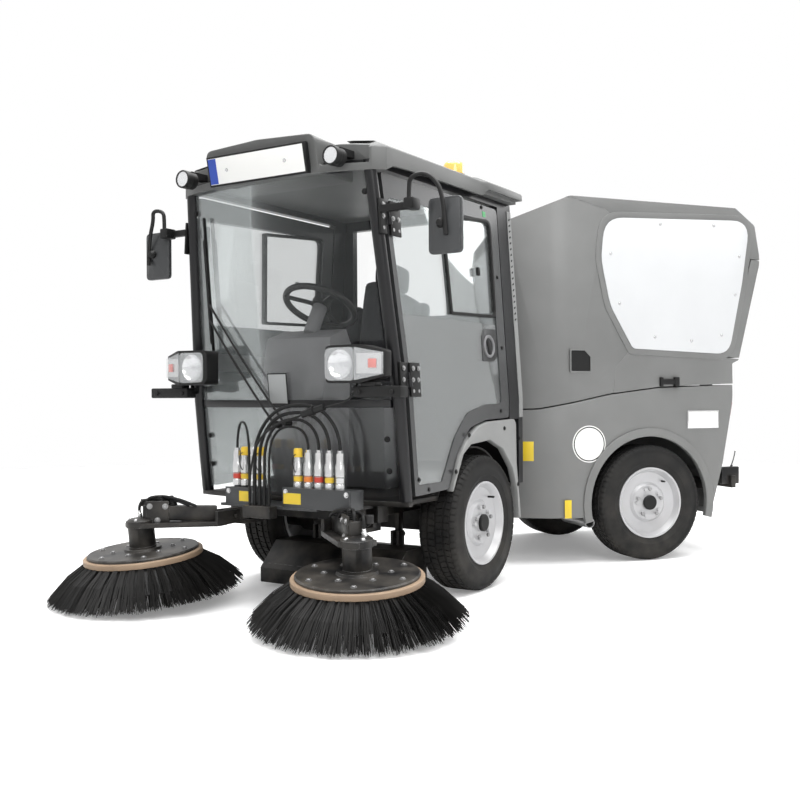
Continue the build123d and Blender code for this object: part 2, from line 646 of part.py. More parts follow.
# Brooms: carrier on an upright pin, lift arm on a cross pin, motor, disc and bristles
tilt = sqrt(broom_tilt ** 2 + broom_lean ** 2)
disc_z = broom_ground_gap + bristle_drop * cos(radians(tilt)) + bristle_tip_radius * sin(radians(tilt))
for side_name, side in sides:
    spin = Plane(origin=(broom_x, side * broom_y, disc_z),
                 z_dir=(sin(radians(broom_tilt)), side * sin(radians(broom_lean)), 1), x_dir=(0, 1, 0))
    with BuildPart() as carrier:
        with Locations((swing_pivot_x, side * swing_pivot_y, 390)):
            Cylinder(42, 80)
        with Locations(((swing_pivot_x + lift_pivot_x) / 2, side * swing_pivot_y, 378)):
            Box(lift_pivot_x - swing_pivot_x + 20, 44, 56)
        with Locations((swing_pivot_x, side * swing_pivot_y, 390)):
            Cylinder(swing_pin_radius + running_clearance, 200, mode=Mode.SUBTRACT)
        with Locations((lift_pivot_x, side * swing_pivot_y, lift_pivot_z)):
            Cylinder(30, 44, rotation=(90, 0, 0))
            Cylinder(lift_pin_radius, 110, rotation=(90, 0, 0))
    write(carrier.part, f"broom_carrier_{side_name}")

    with BuildPart() as arm:
        for cheek in (1, -1):
            with BuildSketch(Plane.XZ.offset(-side * swing_pivot_y - cheek * 34 - 8)):
                Polygon((lift_pivot_x - 34, lift_pivot_z - 30), (lift_pivot_x + 120, lift_pivot_z - 34),
                        (lift_pivot_x + 120, lift_pivot_z + 34), (lift_pivot_x - 34, lift_pivot_z + 30),
                        align=None)
            extrude(amount=16)
        with Locations((lift_pivot_x, side * swing_pivot_y, lift_pivot_z)):
            Cylinder(lift_pin_radius + running_clearance, 200, rotation=(90, 0, 0), mode=Mode.SUBTRACT)
        with BuildSketch(Plane.XY.offset(lift_pivot_z - 34)):
            Polygon((lift_pivot_x + 60, side * (swing_pivot_y - 42)),
                    (lift_pivot_x + 120, side * (swing_pivot_y - 42)),
                    (broom_x + 60, side * (broom_y - 50)), (broom_x + 60, side * (broom_y + 50)),
                    (broom_x - 60, side * (broom_y + 50)), (lift_pivot_x + 60, side * (swing_pivot_y + 42)),
                    align=None)
        extrude(amount=20)
        with Locations(spin):
            with Locations((0, 0, broom_plate + 4)):
                Cylinder(broom_motor_radius, broom_motor_height, align=(Align.CENTER, Align.CENTER, Align.MIN))
            with Locations((0, 0, -2)):
                Cylinder(20, 40, align=(Align.CENTER, Align.CENTER, Align.MIN))
    write(arm.part, f"broom_arm_{side_name}")

    with BuildPart() as disc:
        with Locations(spin):
            Cylinder(plate_radius, broom_plate, align=(Align.CENTER, Align.CENTER, Align.MIN))
            with Locations((0, 0, -ring_height)):
                Cylinder(ring_radius, ring_height, align=(Align.CENTER, Align.CENTER, Align.MIN))
            with Locations((0, 0, -2)):
                Cylinder(20 + running_clearance, 60, align=(Align.CENTER, Align.CENTER, Align.MIN),
                         mode=Mode.SUBTRACT)
    write(disc.part, f"broom_disc_{side_name}")

    with BuildPart() as bristles:
        with BuildSketch(Plane(origin=spin.origin, x_dir=spin.x_dir, z_dir=spin.y_dir)) as skirt:
            Polygon((70, ring_height + 0), (ring_radius - 6, ring_height), (bristle_tip_radius, bristle_drop),
                    (300, bristle_drop), (70, ring_height + 60), align=None)
        revolve(axis=Axis(spin.origin, spin.z_dir))
    write(bristles.part, f"bristles_{side_name}")

# Suction mouth between the front wheels, hung on two ears
with BuildPart() as mouth:
    for side in (1, -1):
        for ear in (1, -1):
            with Locations((mouth_axis_x + 15, side * rail_y + ear * 17, (200 + mouth_axis_z) / 2)):
                Box(50, 12, mouth_axis_z - 200 + 30)
    with Locations((mouth_axis_x, 0, mouth_axis_z)):
        Cylinder(mouth_pin_radius + running_clearance, 1200, rotation=(90, 0, 0), mode=Mode.SUBTRACT)
    with BuildSketch(Plane.XZ.offset(-380)):
        Polygon((1120, 20), (1420, 20), (1420, 90), (1300, 210), (1120, 210), align=None)
    extrude(amount=760)
    with Locations((1270, 0, 60)):
        Box(260, 700, 100, mode=Mode.SUBTRACT)
write(mouth.part, "suction_mouth")

# Rear body: side outline crossed with the plan outline, then cut into its panels
rear_profile = ((body_front_x, 250), (body_front_x, 1860), (-344, 1988), (-1400, 1975), (-1530, 1880),
                (-1567, 1680), (-1418, 1109), (-1375, 1090), (-1379, 881), (-1310, 523), (-1232, 248))
rear_plan = ((body_front_x, 440), (-240, 560), (-360, body_half_width), (-1560, body_half_width),
             (-1640, 540))


def rear_volume(inset):
    with BuildPart() as volume:
        with BuildSketch(Plane.XZ):
            with BuildLine():
                Polyline(*rear_profile, close=True)
            make_face()
            if inset:
                offset(amount=-inset, kind=Kind.INTERSECTION)
        extrude(amount=900, both=True)
        with BuildSketch(Plane.XY):
            with BuildLine():
                Polyline(*(rear_plan + tuple((x, -y) for x, y in reversed(rear_plan))), close=True)
            make_face()
            if inset:
                offset(amount=-inset, kind=Kind.INTERSECTION)
        extrude(amount=2500, mode=Mode.INTERSECT)
    return volume.part


def rear_block(points, half=700.0):
    with BuildPart() as block:
        with BuildSketch(Plane.XZ):
            with BuildLine():
                Polyline(*points, close=True)
            make_face()
        extrude(amount=half, both=True)
    return block.part


body_line = ((100, 826), (-191, 838), (-590, 916), (-900, 952), (-1500, 972))
hood_seam = ((-298, 2100), (-298, 1990), (-560, 1925), (-640, 1868), (-545, 1770), (-512, 1650),
             (-560, 1420), (-722, 1171), (-622, 1067), (-590, 800))
panel = ((-700, 1889), (-1431, 1898), (-1471, 1814), (-1340, 1177), (-1259, 1148), (-735, 1177),
         (-566, 1420), (-522, 1650), (-560, 1775), (-645, 1865))
container_front = -745.0
container_floor = 1002.0
gate_seam = ((-1700, 1676), (-1500, 1690), (-1340, 1120), (-1700, 1100))
rear_outer = rear_volume(0)
rear_inner = rear_volume(body_wall)

# Lower body: skins with round arches, end walls and a deck left open over the engine
with BuildPart() as lower_body:
    add(rear_outer)
    add(rear_inner, mode=Mode.SUBTRACT)
    add(rear_block(body_line + ((-1500, 200), (100, 200))), mode=Mode.INTERSECT)
    with Locations((rear_axle_x, 0, tyre_radius)):
        Cylinder(tyre_radius + arch_clearance, 1400, rotation=(90, 0, 0), mode=Mode.SUBTRACT)
    with Locations((0, 0, 200)):
        Box(200, 500, 2 * (rail_top + 20 - 200), mode=Mode.SUBTRACT)
    for side in (1, -1):
        with Locations((-1300, side * rail_y, rail_middle)):
            Box(120, rail_width / 2 + 10, rail_height / 2 + 10, mode=Mode.SUBTRACT)
    with Locations((rear_axle_x, 0, 200)):
        Box(800, 1000, 200, mode=Mode.SUBTRACT)
write(lower_body.part, "rear_lower_body", True)

above_line = tuple((x, z + seam) for x, z in body_line) + ((-1800, 980), (-1800, 2200), (100, 2200))
with BuildPart() as hood:
    add(rear_outer)
    add(rear_inner, mode=Mode.SUBTRACT)
    add(rear_block(above_line), mode=Mode.INTERSECT)
    add(rear_block(hood_seam + ((200, 800), (200, 2100))), mode=Mode.INTERSECT)
write(hood.part, "rear_hood", True)

with BuildPart() as container:
    add(rear_inner)
    add(rear_block(((container_front, container_floor), (-1800, container_floor), (-1800, 2200),
                    (container_front, 2200))), mode=Mode.INTERSECT)
    add(rear_block(((container_front - 18, container_floor + 18), (-1800, container_floor + 18),
                    (-1800, 2200), (container_front - 18, 2200))), mode=Mode.SUBTRACT)

with BuildPart() as hopper:
    add(rear_outer)
    add(rear_inner, mode=Mode.SUBTRACT)
    add(rear_block(above_line), mode=Mode.INTERSECT)
    add(rear_block(hood_seam + ((-1800, 800), (-1800, 2100))), mode=Mode.INTERSECT)
    add(rear_block(gate_seam), mode=Mode.SUBTRACT)
    # container floor and front wall inside the skin
    add(container.part)
    for side in (1, -1):
        for ear in (1, -1):
            with BuildSketch(Plane.XZ.offset(-side * gate_lug_y - ear * 24 - 5)):
                Polygon((-1545, gate_axis_z - 8), (gate_axis_x, gate_axis_z - 16),
                        (gate_axis_x - 16, gate_axis_z), (gate_axis_x, gate_axis_z + 16),
                        (-1530, gate_axis_z + 60), align=None)
            extrude(amount=10)
        with Locations((gate_axis_x, side * gate_lug_y, gate_axis_z)):
            Cylinder(gate_pin_radius, 58, rotation=(90, 0, 0))
    for side in (1, -1):
        with BuildSketch(Plane.XZ.offset(-side * tip_lug_y - 20)):
            with BuildLine():
                Polyline((-1370, 1085), (tip_axis_x, tip_axis_z + 20))
                ThreePointArc((tip_axis_x, tip_axis_z + 20), (tip_axis_x - 20, tip_axis_z),
                              (tip_axis_x, tip_axis_z - 20))
                Polyline((tip_axis_x, tip_axis_z - 20), (-1370, 1005), (-1370, 1085))
            make_face()
            with Locations((tip_axis_x, tip_axis_z)):
                Circle(tip_pin_radius + running_clearance, mode=Mode.SUBTRACT)
        extrude(amount=40)
write(hopper.part, "hopper", True)

# White side panels on the hopper
with BuildPart() as side_panels:
    for side in (1, -1):
        with BuildSketch(Plane.XZ.offset(-side * body_half_width)):
            with BuildLine():
                Polyline(*panel, close=True)
            make_face()
        extrude(amount=-side * 6)
write(side_panels.part, "side_panels", True)

with BuildPart() as tailgate:
    add(rear_outer)
    add(rear_inner, mode=Mode.SUBTRACT)
    add(rear_block(((-1700, 1670), (-1507, 1684), (-1349, 1126), (-1700, 1106))), mode=Mode.INTERSECT)
    for side in (1, -1):
        with BuildSketch(Plane.XZ.offset(-side * gate_lug_y - 15)):
            Polygon((-1550, 1600), (-1585, 1604), (gate_axis_x - 15, gate_axis_z - 10),
                    (gate_axis_x - 15, gate_axis_z + 8), (gate_axis_x, gate_axis_z + 15),
                    (gate_axis_x + 12, gate_axis_z + 2), (-1568, 1668), (-1550, 1660), align=None)
        extrude(amount=30)
        with Locations((gate_axis_x, side * gate_lug_y, gate_axis_z)):
            Cylinder(gate_pin_radius + running_clearance, 60, rotation=(90, 0, 0), mode=Mode.SUBTRACT)
write(tailgate.part, "tailgate", True)

# Engine as one block on the rear rails
with BuildPart() as engine:
    with Locations((-560, 0, rail_top)):
        Box(460, 420, 330, align=(Align.CENTER, Align.CENTER, Align.MIN))
write(engine.part, "engine", True)

# Tail lamps, bumper with the tow jaw, exhaust tail pipe
with BuildPart() as tail_lamps:
    for side in (1, -1):
        with BuildSketch(Plane.XZ.offset(-side * 480)):
            Polygon((-1363.7, 800), (-1377.2, 870), (-1397, 866), (-1384, 796), align=None)
        extrude(amount=-side * 90)
write(tail_lamps.part, "tail_lamps", True)

jaw_z = 405.0
jaw_reach = 56.0
jaw_height = 60.0
jaw_pin_radius = 12.5
with BuildPart() as bumper:
    with Locations((tail_beam_x - 45, 0, jaw_z)):
        Box(30, 1000, 70)
    with Locations((tail_beam_x - 60, 0, jaw_z)):
        Box(jaw_reach, 110, jaw_height, align=(Align.MAX, Align.CENTER, Align.CENTER))
        Box(jaw_reach + 10, 80, 26, align=(Align.MAX, Align.CENTER, Align.CENTER), mode=Mode.SUBTRACT)
    with Locations((tail_beam_x - 60 - jaw_reach / 2, 0, jaw_z)):
        Cylinder(jaw_pin_radius, 100, mode=Mode.SUBTRACT)
write(bumper.part, "rear_bumper", True)

with BuildPart() as exhaust:
    with BuildLine() as pipe:
        FilletPolyline((-560, 180, 300), (-480, 260, 218), (-470, 575, 218), radius=60)
    with BuildSketch(Plane(origin=pipe.line @ 0, z_dir=pipe.line % 0)):
        Circle(28)
        Circle(24, mode=Mode.SUBTRACT)
    sweep(path=pipe.line)
    with Locations((-640, 150, rail_bottom - 55)):
        Box(220, 160, 110)
write(exhaust.part, "exhaust", True)
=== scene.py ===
import bpy
import bmesh
import json
import math
from mathutils import Matrix, Vector

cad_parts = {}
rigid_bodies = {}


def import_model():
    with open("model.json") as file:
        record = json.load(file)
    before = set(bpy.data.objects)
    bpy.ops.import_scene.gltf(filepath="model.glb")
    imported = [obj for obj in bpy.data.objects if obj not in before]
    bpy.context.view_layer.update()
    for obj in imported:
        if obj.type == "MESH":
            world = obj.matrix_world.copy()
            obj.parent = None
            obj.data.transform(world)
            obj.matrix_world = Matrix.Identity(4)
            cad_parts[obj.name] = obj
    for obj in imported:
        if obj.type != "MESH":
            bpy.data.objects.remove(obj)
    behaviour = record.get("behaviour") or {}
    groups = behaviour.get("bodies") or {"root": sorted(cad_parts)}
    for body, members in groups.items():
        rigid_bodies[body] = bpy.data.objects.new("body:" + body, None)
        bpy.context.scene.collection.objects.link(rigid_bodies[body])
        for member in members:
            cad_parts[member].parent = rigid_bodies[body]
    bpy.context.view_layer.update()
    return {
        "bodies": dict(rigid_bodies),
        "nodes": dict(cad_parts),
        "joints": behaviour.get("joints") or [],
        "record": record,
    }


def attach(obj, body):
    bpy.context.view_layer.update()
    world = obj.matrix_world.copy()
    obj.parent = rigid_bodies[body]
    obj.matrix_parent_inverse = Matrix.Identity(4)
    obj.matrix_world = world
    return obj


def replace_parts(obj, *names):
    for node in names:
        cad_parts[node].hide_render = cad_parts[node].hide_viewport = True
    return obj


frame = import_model()
nodes = frame["nodes"]
print("frame loaded:", len(nodes), "nodes")

# the front unit's own frame has the pivot at its origin; the rear unit is turned about it
boxCentre = Vector((0.406, 0.206, 0))
rearTurn = Matrix.Rotation(math.radians(-39.0), 4, "Z")


def frontPoint(x, y, z):
    return Vector((x, y, z)) - boxCentre


def rearPoint(x, y, z):
    return rearTurn @ Vector((x, y, z)) - boxCentre


def deselect():
    for each in bpy.context.selected_objects:
        each.select_set(False)


def activate(obj):
    deselect()
    obj.select_set(True)
    bpy.context.view_layer.objects.active = obj


def applyAll(obj):
    activate(obj)
    for modifier in list(obj.modifiers):
        bpy.ops.object.modifier_apply(modifier=modifier.name)


# camera, studio and floor

photoCamera = {
    "place": (4.7768, 2.6103, 0.9248),   # metres, in the row frame
    "yaw": -147.582,                     # degrees from +X
    "pitch": -0.332,
    "roll": -0.317,
    "focalPixels": 1008.94,              # for a picture 800 pixels wide
    "pictureWidth": 800,
    "sensor": 36.0,
}


def makeCamera():
    s = photoCamera
    yaw, pitch, roll = (math.radians(s[k]) for k in ("yaw", "pitch", "roll"))
    ahead = Vector((math.cos(yaw) * math.cos(pitch), math.sin(yaw) * math.cos(pitch), math.sin(pitch)))
    level = ahead.cross(Vector((0, 0, 1))).normalized()
    above = level.cross(ahead)
    right = math.cos(roll) * level + math.sin(roll) * above
    up = -math.sin(roll) * level + math.cos(roll) * above
    cam = bpy.data.cameras.new("camera")
    cam.sensor_width = s["sensor"]
    cam.sensor_fit = "HORIZONTAL"
    cam.lens = s["focalPixels"] / s["pictureWidth"] * s["sensor"]
    cam.clip_end = 200
    obj = bpy.data.objects.new("camera", cam)
    bpy.context.scene.collection.objects.link(obj)
    turn = Matrix((right, up, -ahead)).transposed().to_4x4()
    obj.matrix_world = Matrix.Translation(Vector(s["place"])) @ turn
    bpy.context.scene.camera = obj


studio = {
    "worldLight": 0.46,
    "floorColour": (0.95, 0.95, 0.95, 1),
    "floorRough": 0.55,
    "floorSpecular": 0.2,
    "floorRadius": 9,
    "floorLift": 0.22,                   # light the floor adds for the camera alone
    # name, place, aimed at, size, power
    "lamps": [
        ("topLamp", (0.2, 0.4, 7.0), (0.0, 0.1, 0.5), 9.0, 1050),
        ("keyLamp", (4.6, 4.6, 4.4), (0.2, 0.1, 0.9), 3.5, 150),
        ("rearLamp", (-5.5, 2.0, 3.6), (-0.8, 0.3, 0.9), 3.5, 90),
    ],
}


def makeStudio():
    scene = bpy.context.scene
    scene.view_settings.view_transform = "Standard"
    world = bpy.data.worlds.new("studioWorld")
    scene.world = world
    world.use_nodes = True
    tree = world.node_tree
    tree.nodes.clear()
    out = tree.nodes.new("ShaderNodeOutputWorld")
    mix = tree.nodes.new("ShaderNodeMixShader")
    lit = tree.nodes.new("ShaderNodeBackground")
    seen = tree.nodes.new("ShaderNodeBackground")
    path = tree.nodes.new("ShaderNodeLightPath")
    lit.inputs["Color"].default_value = (1, 1, 1, 1)
    lit.inputs["Strength"].default_value = studio["worldLight"]
    seen.inputs["Color"].default_value = (1, 1, 1, 1)
    seen.inputs["Strength"].default_value = 1.0
    rays = path.outputs["Is Camera Ray"]
    for name in ("Is Glossy Ray", "Is Transmission Ray"):
        either = tree.nodes.new("ShaderNodeMath")
        either.operation = "MAXIMUM"
        tree.links.new(rays, either.inputs[0])
        tree.links.new(path.outputs[name], either.inputs[1])
        rays = either.outputs[0]
    tree.links.new(rays, mix.inputs[0])
    tree.links.new(lit.outputs[0], mix.inputs[1])
    tree.links.new(seen.outputs[0], mix.inputs[2])
    tree.links.new(mix.outputs[0], out.inputs["Surface"])
    for name, place, aim, size, power in studio["lamps"]:
        light = bpy.data.lights.new(name, "AREA")
        light.shape = "DISK"
        light.size = size
        light.energy = power
        lamp = bpy.data.objects.new(name, light)
        lamp.location = place
        lamp.rotation_mode = "QUATERNION"
        lamp.rotation_quaternion = (Vector(aim) - Vector(place)).to_track_quat("-Z", "Y")
        scene.collection.objects.link(lamp)

    mat = bpy.data.materials.new("floorWhite")
    mat.use_nodes = True
    tree = mat.node_tree
    main = tree.nodes["Principled BSDF"]
    main.inputs["Base Color"].default_value = studio["floorColour"]
    main.inputs["Roughness"].default_value = studio["floorRough"]
    main.inputs["Specular IOR Level"].default_value = studio["floorSpecular"]
    lift = tree.nodes.new("ShaderNodeEmission")
    path = tree.nodes.new("ShaderNodeLightPath")
    tree.links.new(path.outputs["Is Camera Ray"], lift.inputs["Strength"])
    lift.inputs["Color"].default_value = (studio["floorLift"],) * 3 + (1,)
    both = tree.nodes.new("ShaderNodeAddShader")
    tree.links.new(main.outputs[0], both.inputs[0])
    tree.links.new(lift.outputs[0], both.inputs[1])
    tree.links.new(both.outputs[0], tree.nodes["Material Output"].inputs["Surface"])
    bpy.ops.mesh.primitive_circle_add(vertices=64, radius=studio["floorRadius"], fill_type="NGON",
                                      location=(0, 0, -0.001))
    floor = bpy.context.active_object
    floor.name = "floor"
    floor.data.materials.append(mat)


deselect()
makeCamera()
makeStudio()
print("camera and studio made")


# shader groups that the materials share: each gives a value, a mask or a normal

def newGroup(name, inputs, outputs):
    group = bpy.data.node_groups.new(name, "ShaderNodeTree")
    for socket, kind, value in inputs:
        made = group.interface.new_socket(socket, in_out="INPUT", socket_type=kind)
        made.default_value = value
    for socket, kind in outputs:
        group.interface.new_socket(socket, in_out="OUTPUT", socket_type=kind)
    source = group.nodes.new("NodeGroupInput")
    target = group.nodes.new("NodeGroupOutput")
    return group, source.outputs, target.inputs


def addNode(tree, kind, **settings):
    node = tree.nodes.new(kind)
    for key, value in settings.items():
        setattr(node, key, value)
    return node


def grainGroup():
    group, source, target = newGroup(
        "grain", [("Scale", "NodeSocketFloat", 400.0), ("Depth", "NodeSocketFloat", 0.1)],
        [("Value", "NodeSocketFloat"), ("Normal", "NodeSocketVector")])
    place = addNode(group, "ShaderNodeTexCoord")
    noise = addNode(group, "ShaderNodeTexNoise")
    noise.inputs["Detail"].default_value = 3
    bump = addNode(group, "ShaderNodeBump")
    bump.inputs["Distance"].default_value = 0.0006
    group.links.new(place.outputs["Object"], noise.inputs["Vector"])
    group.links.new(source["Scale"], noise.inputs["Scale"])
    group.links.new(noise.outputs[0], bump.inputs["Height"])
    group.links.new(source["Depth"], bump.inputs["Strength"])
    group.links.new(noise.outputs[0], target["Value"])
    group.links.new(bump.outputs["Normal"], target["Normal"])
    return group


def wearGroup():
    group, source, target = newGroup(
        "edgeWear", [("Radius", "NodeSocketFloat", 0.006), ("Amount", "NodeSocketFloat", 1.0)],
        [("Mask", "NodeSocketFloat")])
    geometry = addNode(group, "ShaderNodeNewGeometry")
    rounded = addNode(group, "ShaderNodeBevel", samples=4)
    dot = addNode(group, "ShaderNodeVectorMath", operation="DOT_PRODUCT")
    edge = addNode(group, "ShaderNodeMapRange")
    edge.inputs["From Min"].default_value = 0.995
    edge.inputs["From Max"].default_value = 0.86
    place = addNode(group, "ShaderNodeTexCoord")
    noise = addNode(group, "ShaderNodeTexNoise")
    noise.inputs["Scale"].default_value = 35
    noise.inputs["Detail"].default_value = 4
    patch = addNode(group, "ShaderNodeMapRange")
    patch.inputs["From Min"].default_value = 0.42
    patch.inputs["From Max"].default_value = 0.62
    both = addNode(group, "ShaderNodeMath", operation="MULTIPLY")
    scaled = addNode(group, "ShaderNodeMath", operation="MULTIPLY")
    group.links.new(source["Radius"], rounded.inputs["Radius"])
    group.links.new(geometry.outputs["Normal"], dot.inputs[0])
    group.links.new(rounded.outputs["Normal"], dot.inputs[1])
    group.links.new(dot.outputs["Value"], edge.inputs["Value"])
    group.links.new(place.outputs["Object"], noise.inputs["Vector"])
    group.links.new(noise.outputs[0], patch.inputs["Value"])
    group.links.new(edge.outputs[0], both.inputs[0])
    group.links.new(patch.outputs[0], both.inputs[1])
    group.links.new(both.outputs[0], scaled.inputs[0])
    group.links.new(source["Amount"], scaled.inputs[1])
    group.links.new(scaled.outputs[0], target["Mask"])
    return group


def dustGroup():
    group, source, target = newGroup(
        "dust", [("Amount", "NodeSocketFloat", 0.2), ("Height", "NodeSocketFloat", 0.8)],
        [("Mask", "NodeSocketFloat")])
    place = addNode(group, "ShaderNodeTexCoord")
    apart = addNode(group, "ShaderNodeSeparateXYZ")
    low = addNode(group, "ShaderNodeMapRange")
    low.inputs["From Max"].default_value = 0.0
    noise = addNode(group, "ShaderNodeTexNoise")
    noise.inputs["Scale"].default_value = 9
    noise.inputs["Detail"].default_value = 6
    spread = addNode(group, "ShaderNodeMapRange")
    spread.inputs["From Min"].default_value = 0.35
    spread.inputs["From Max"].default_value = 0.75
    both = addNode(group, "ShaderNodeMath", operation="MULTIPLY")
    scaled = addNode(group, "ShaderNodeMath", operation="MULTIPLY", use_clamp=True)
    group.links.new(place.outputs["Object"], apart.inputs[0])
    group.links.new(place.outputs["Object"], noise.inputs["Vector"])
    group.links.new(apart.outputs["Z"], low.inputs["Value"])
    group.links.new(source["Height"], low.inputs["From Min"])
    group.links.new(noise.outputs[0], spread.inputs["Value"])
    group.links.new(low.outputs[0], both.inputs[0])
    group.links.new(spread.outputs[0], both.inputs[1])
    group.links.new(both.outputs[0], scaled.inputs[0])
    group.links.new(source["Amount"], scaled.inputs[1])
    group.links.new(scaled.outputs[0], target["Mask"])
    return group


def weaveGroup():
    group, source, target = newGroup(
        "weave", [("Scale", "NodeSocketFloat", 300.0)],
        [("Value", "NodeSocketFloat"), ("Normal", "NodeSocketVector")])
    place = addNode(group, "ShaderNodeTexCoord")
    across = addNode(group, "ShaderNodeTexWave", bands_direction="Y")
    along = addNode(group, "ShaderNodeTexWave", bands_direction="Z")
    both = addNode(group, "ShaderNodeMath", operation="MULTIPLY")
    bump = addNode(group, "ShaderNodeBump")
    bump.inputs["Distance"].default_value = 0.001
    bump.inputs["Strength"].default_value = 0.5
    for wave in (across, along):
        group.links.new(place.outputs["Object"], wave.inputs["Vector"])
        group.links.new(source["Scale"], wave.inputs["Scale"])
    group.links.new(across.outputs["Fac"], both.inputs[0])
    group.links.new(along.outputs["Fac"], both.inputs[1])
    group.links.new(both.outputs[0], bump.inputs["Height"])
    group.links.new(both.outputs[0], target["Value"])
    group.links.new(bump.outputs["Normal"], target["Normal"])
    return group


groups = {"grain": grainGroup(), "edgeWear": wearGroup(), "dust": dustGroup(), "weave": weaveGroup()}


def placeGroup(tree, name, **values):
    node = tree.nodes.new("ShaderNodeGroup")
    node.node_tree = groups[name]
    for key, value in values.items():
        node.inputs[key].default_value = value
    return node


def mixColour(tree, mask, under, over):
    mix = tree.nodes.new("ShaderNodeMix")
    mix.data_type = "RGBA"
    tree.links.new(mask, mix.inputs[0])
    for socket, colour in ((mix.inputs[6], under), (mix.inputs[7], over)):
        if isinstance(colour, bpy.types.NodeSocket):
            tree.links.new(colour, socket)
        else:
            socket.default_value = (*colour, 1)
    return mix.outputs[2]


def shade(colour, factor):
    return tuple(min(1.0, c * factor) for c in colour)


def newMaterial(name, colour, rough=0.5, metal=0.0, grain=(400, 0.1), vary=0.08, wear=None, dust=0.0,
                dustHeight=0.8, coat=0.0, cloth=False, specular=0.5, alpha=1.0, glow=None):
    mat = bpy.data.materials.new(name)
    mat.use_nodes = True
    tree = mat.node_tree
    main = tree.nodes["Principled BSDF"]
    main.inputs["Roughness"].default_value = rough
    main.inputs["Metallic"].default_value = metal
    main.inputs["Coat Weight"].default_value = coat
    main.inputs["Specular IOR Level"].default_value = specular
    main.inputs["Alpha"].default_value = alpha
    fine = placeGroup(tree, "weave", Scale=grain[0]) if cloth else placeGroup(
        tree, "grain", Scale=grain[0], Depth=grain[1])
    tree.links.new(fine.outputs["Normal"], main.inputs["Normal"])
    blotch = placeGroup(tree, "grain", Scale=3.0, Depth=0.0)
    spot = tree.nodes.new("ShaderNodeMapRange")
    spot.inputs["From Min"].default_value = 0.3
    spot.inputs["From Max"].default_value = 0.7
    tree.links.new(fine.outputs["Value"] if cloth else blotch.outputs["Value"], spot.inputs["Value"])
    result = mixColour(tree, spot.outputs[0], shade(colour, 1 - vary), shade(colour, 1 + vary))
    if wear:
        edge = placeGroup(tree, "edgeWear", Radius=wear[1], Amount=wear[2])
        result = mixColour(tree, edge.outputs["Mask"], result, wear[0])
    if dust:
        film = placeGroup(tree, "dust", Amount=dust, Height=dustHeight)
        result = mixColour(tree, film.outputs["Mask"], result, dustColour)
    tree.links.new(result, main.inputs["Base Color"])
    if glow:
        main.inputs["Emission Color"].default_value = (*glow, 1)
        main.inputs["Emission Strength"].default_value = 0.25   # the beacon's faint glow
    return mat


dustColour = (0.30, 0.27, 0.23)
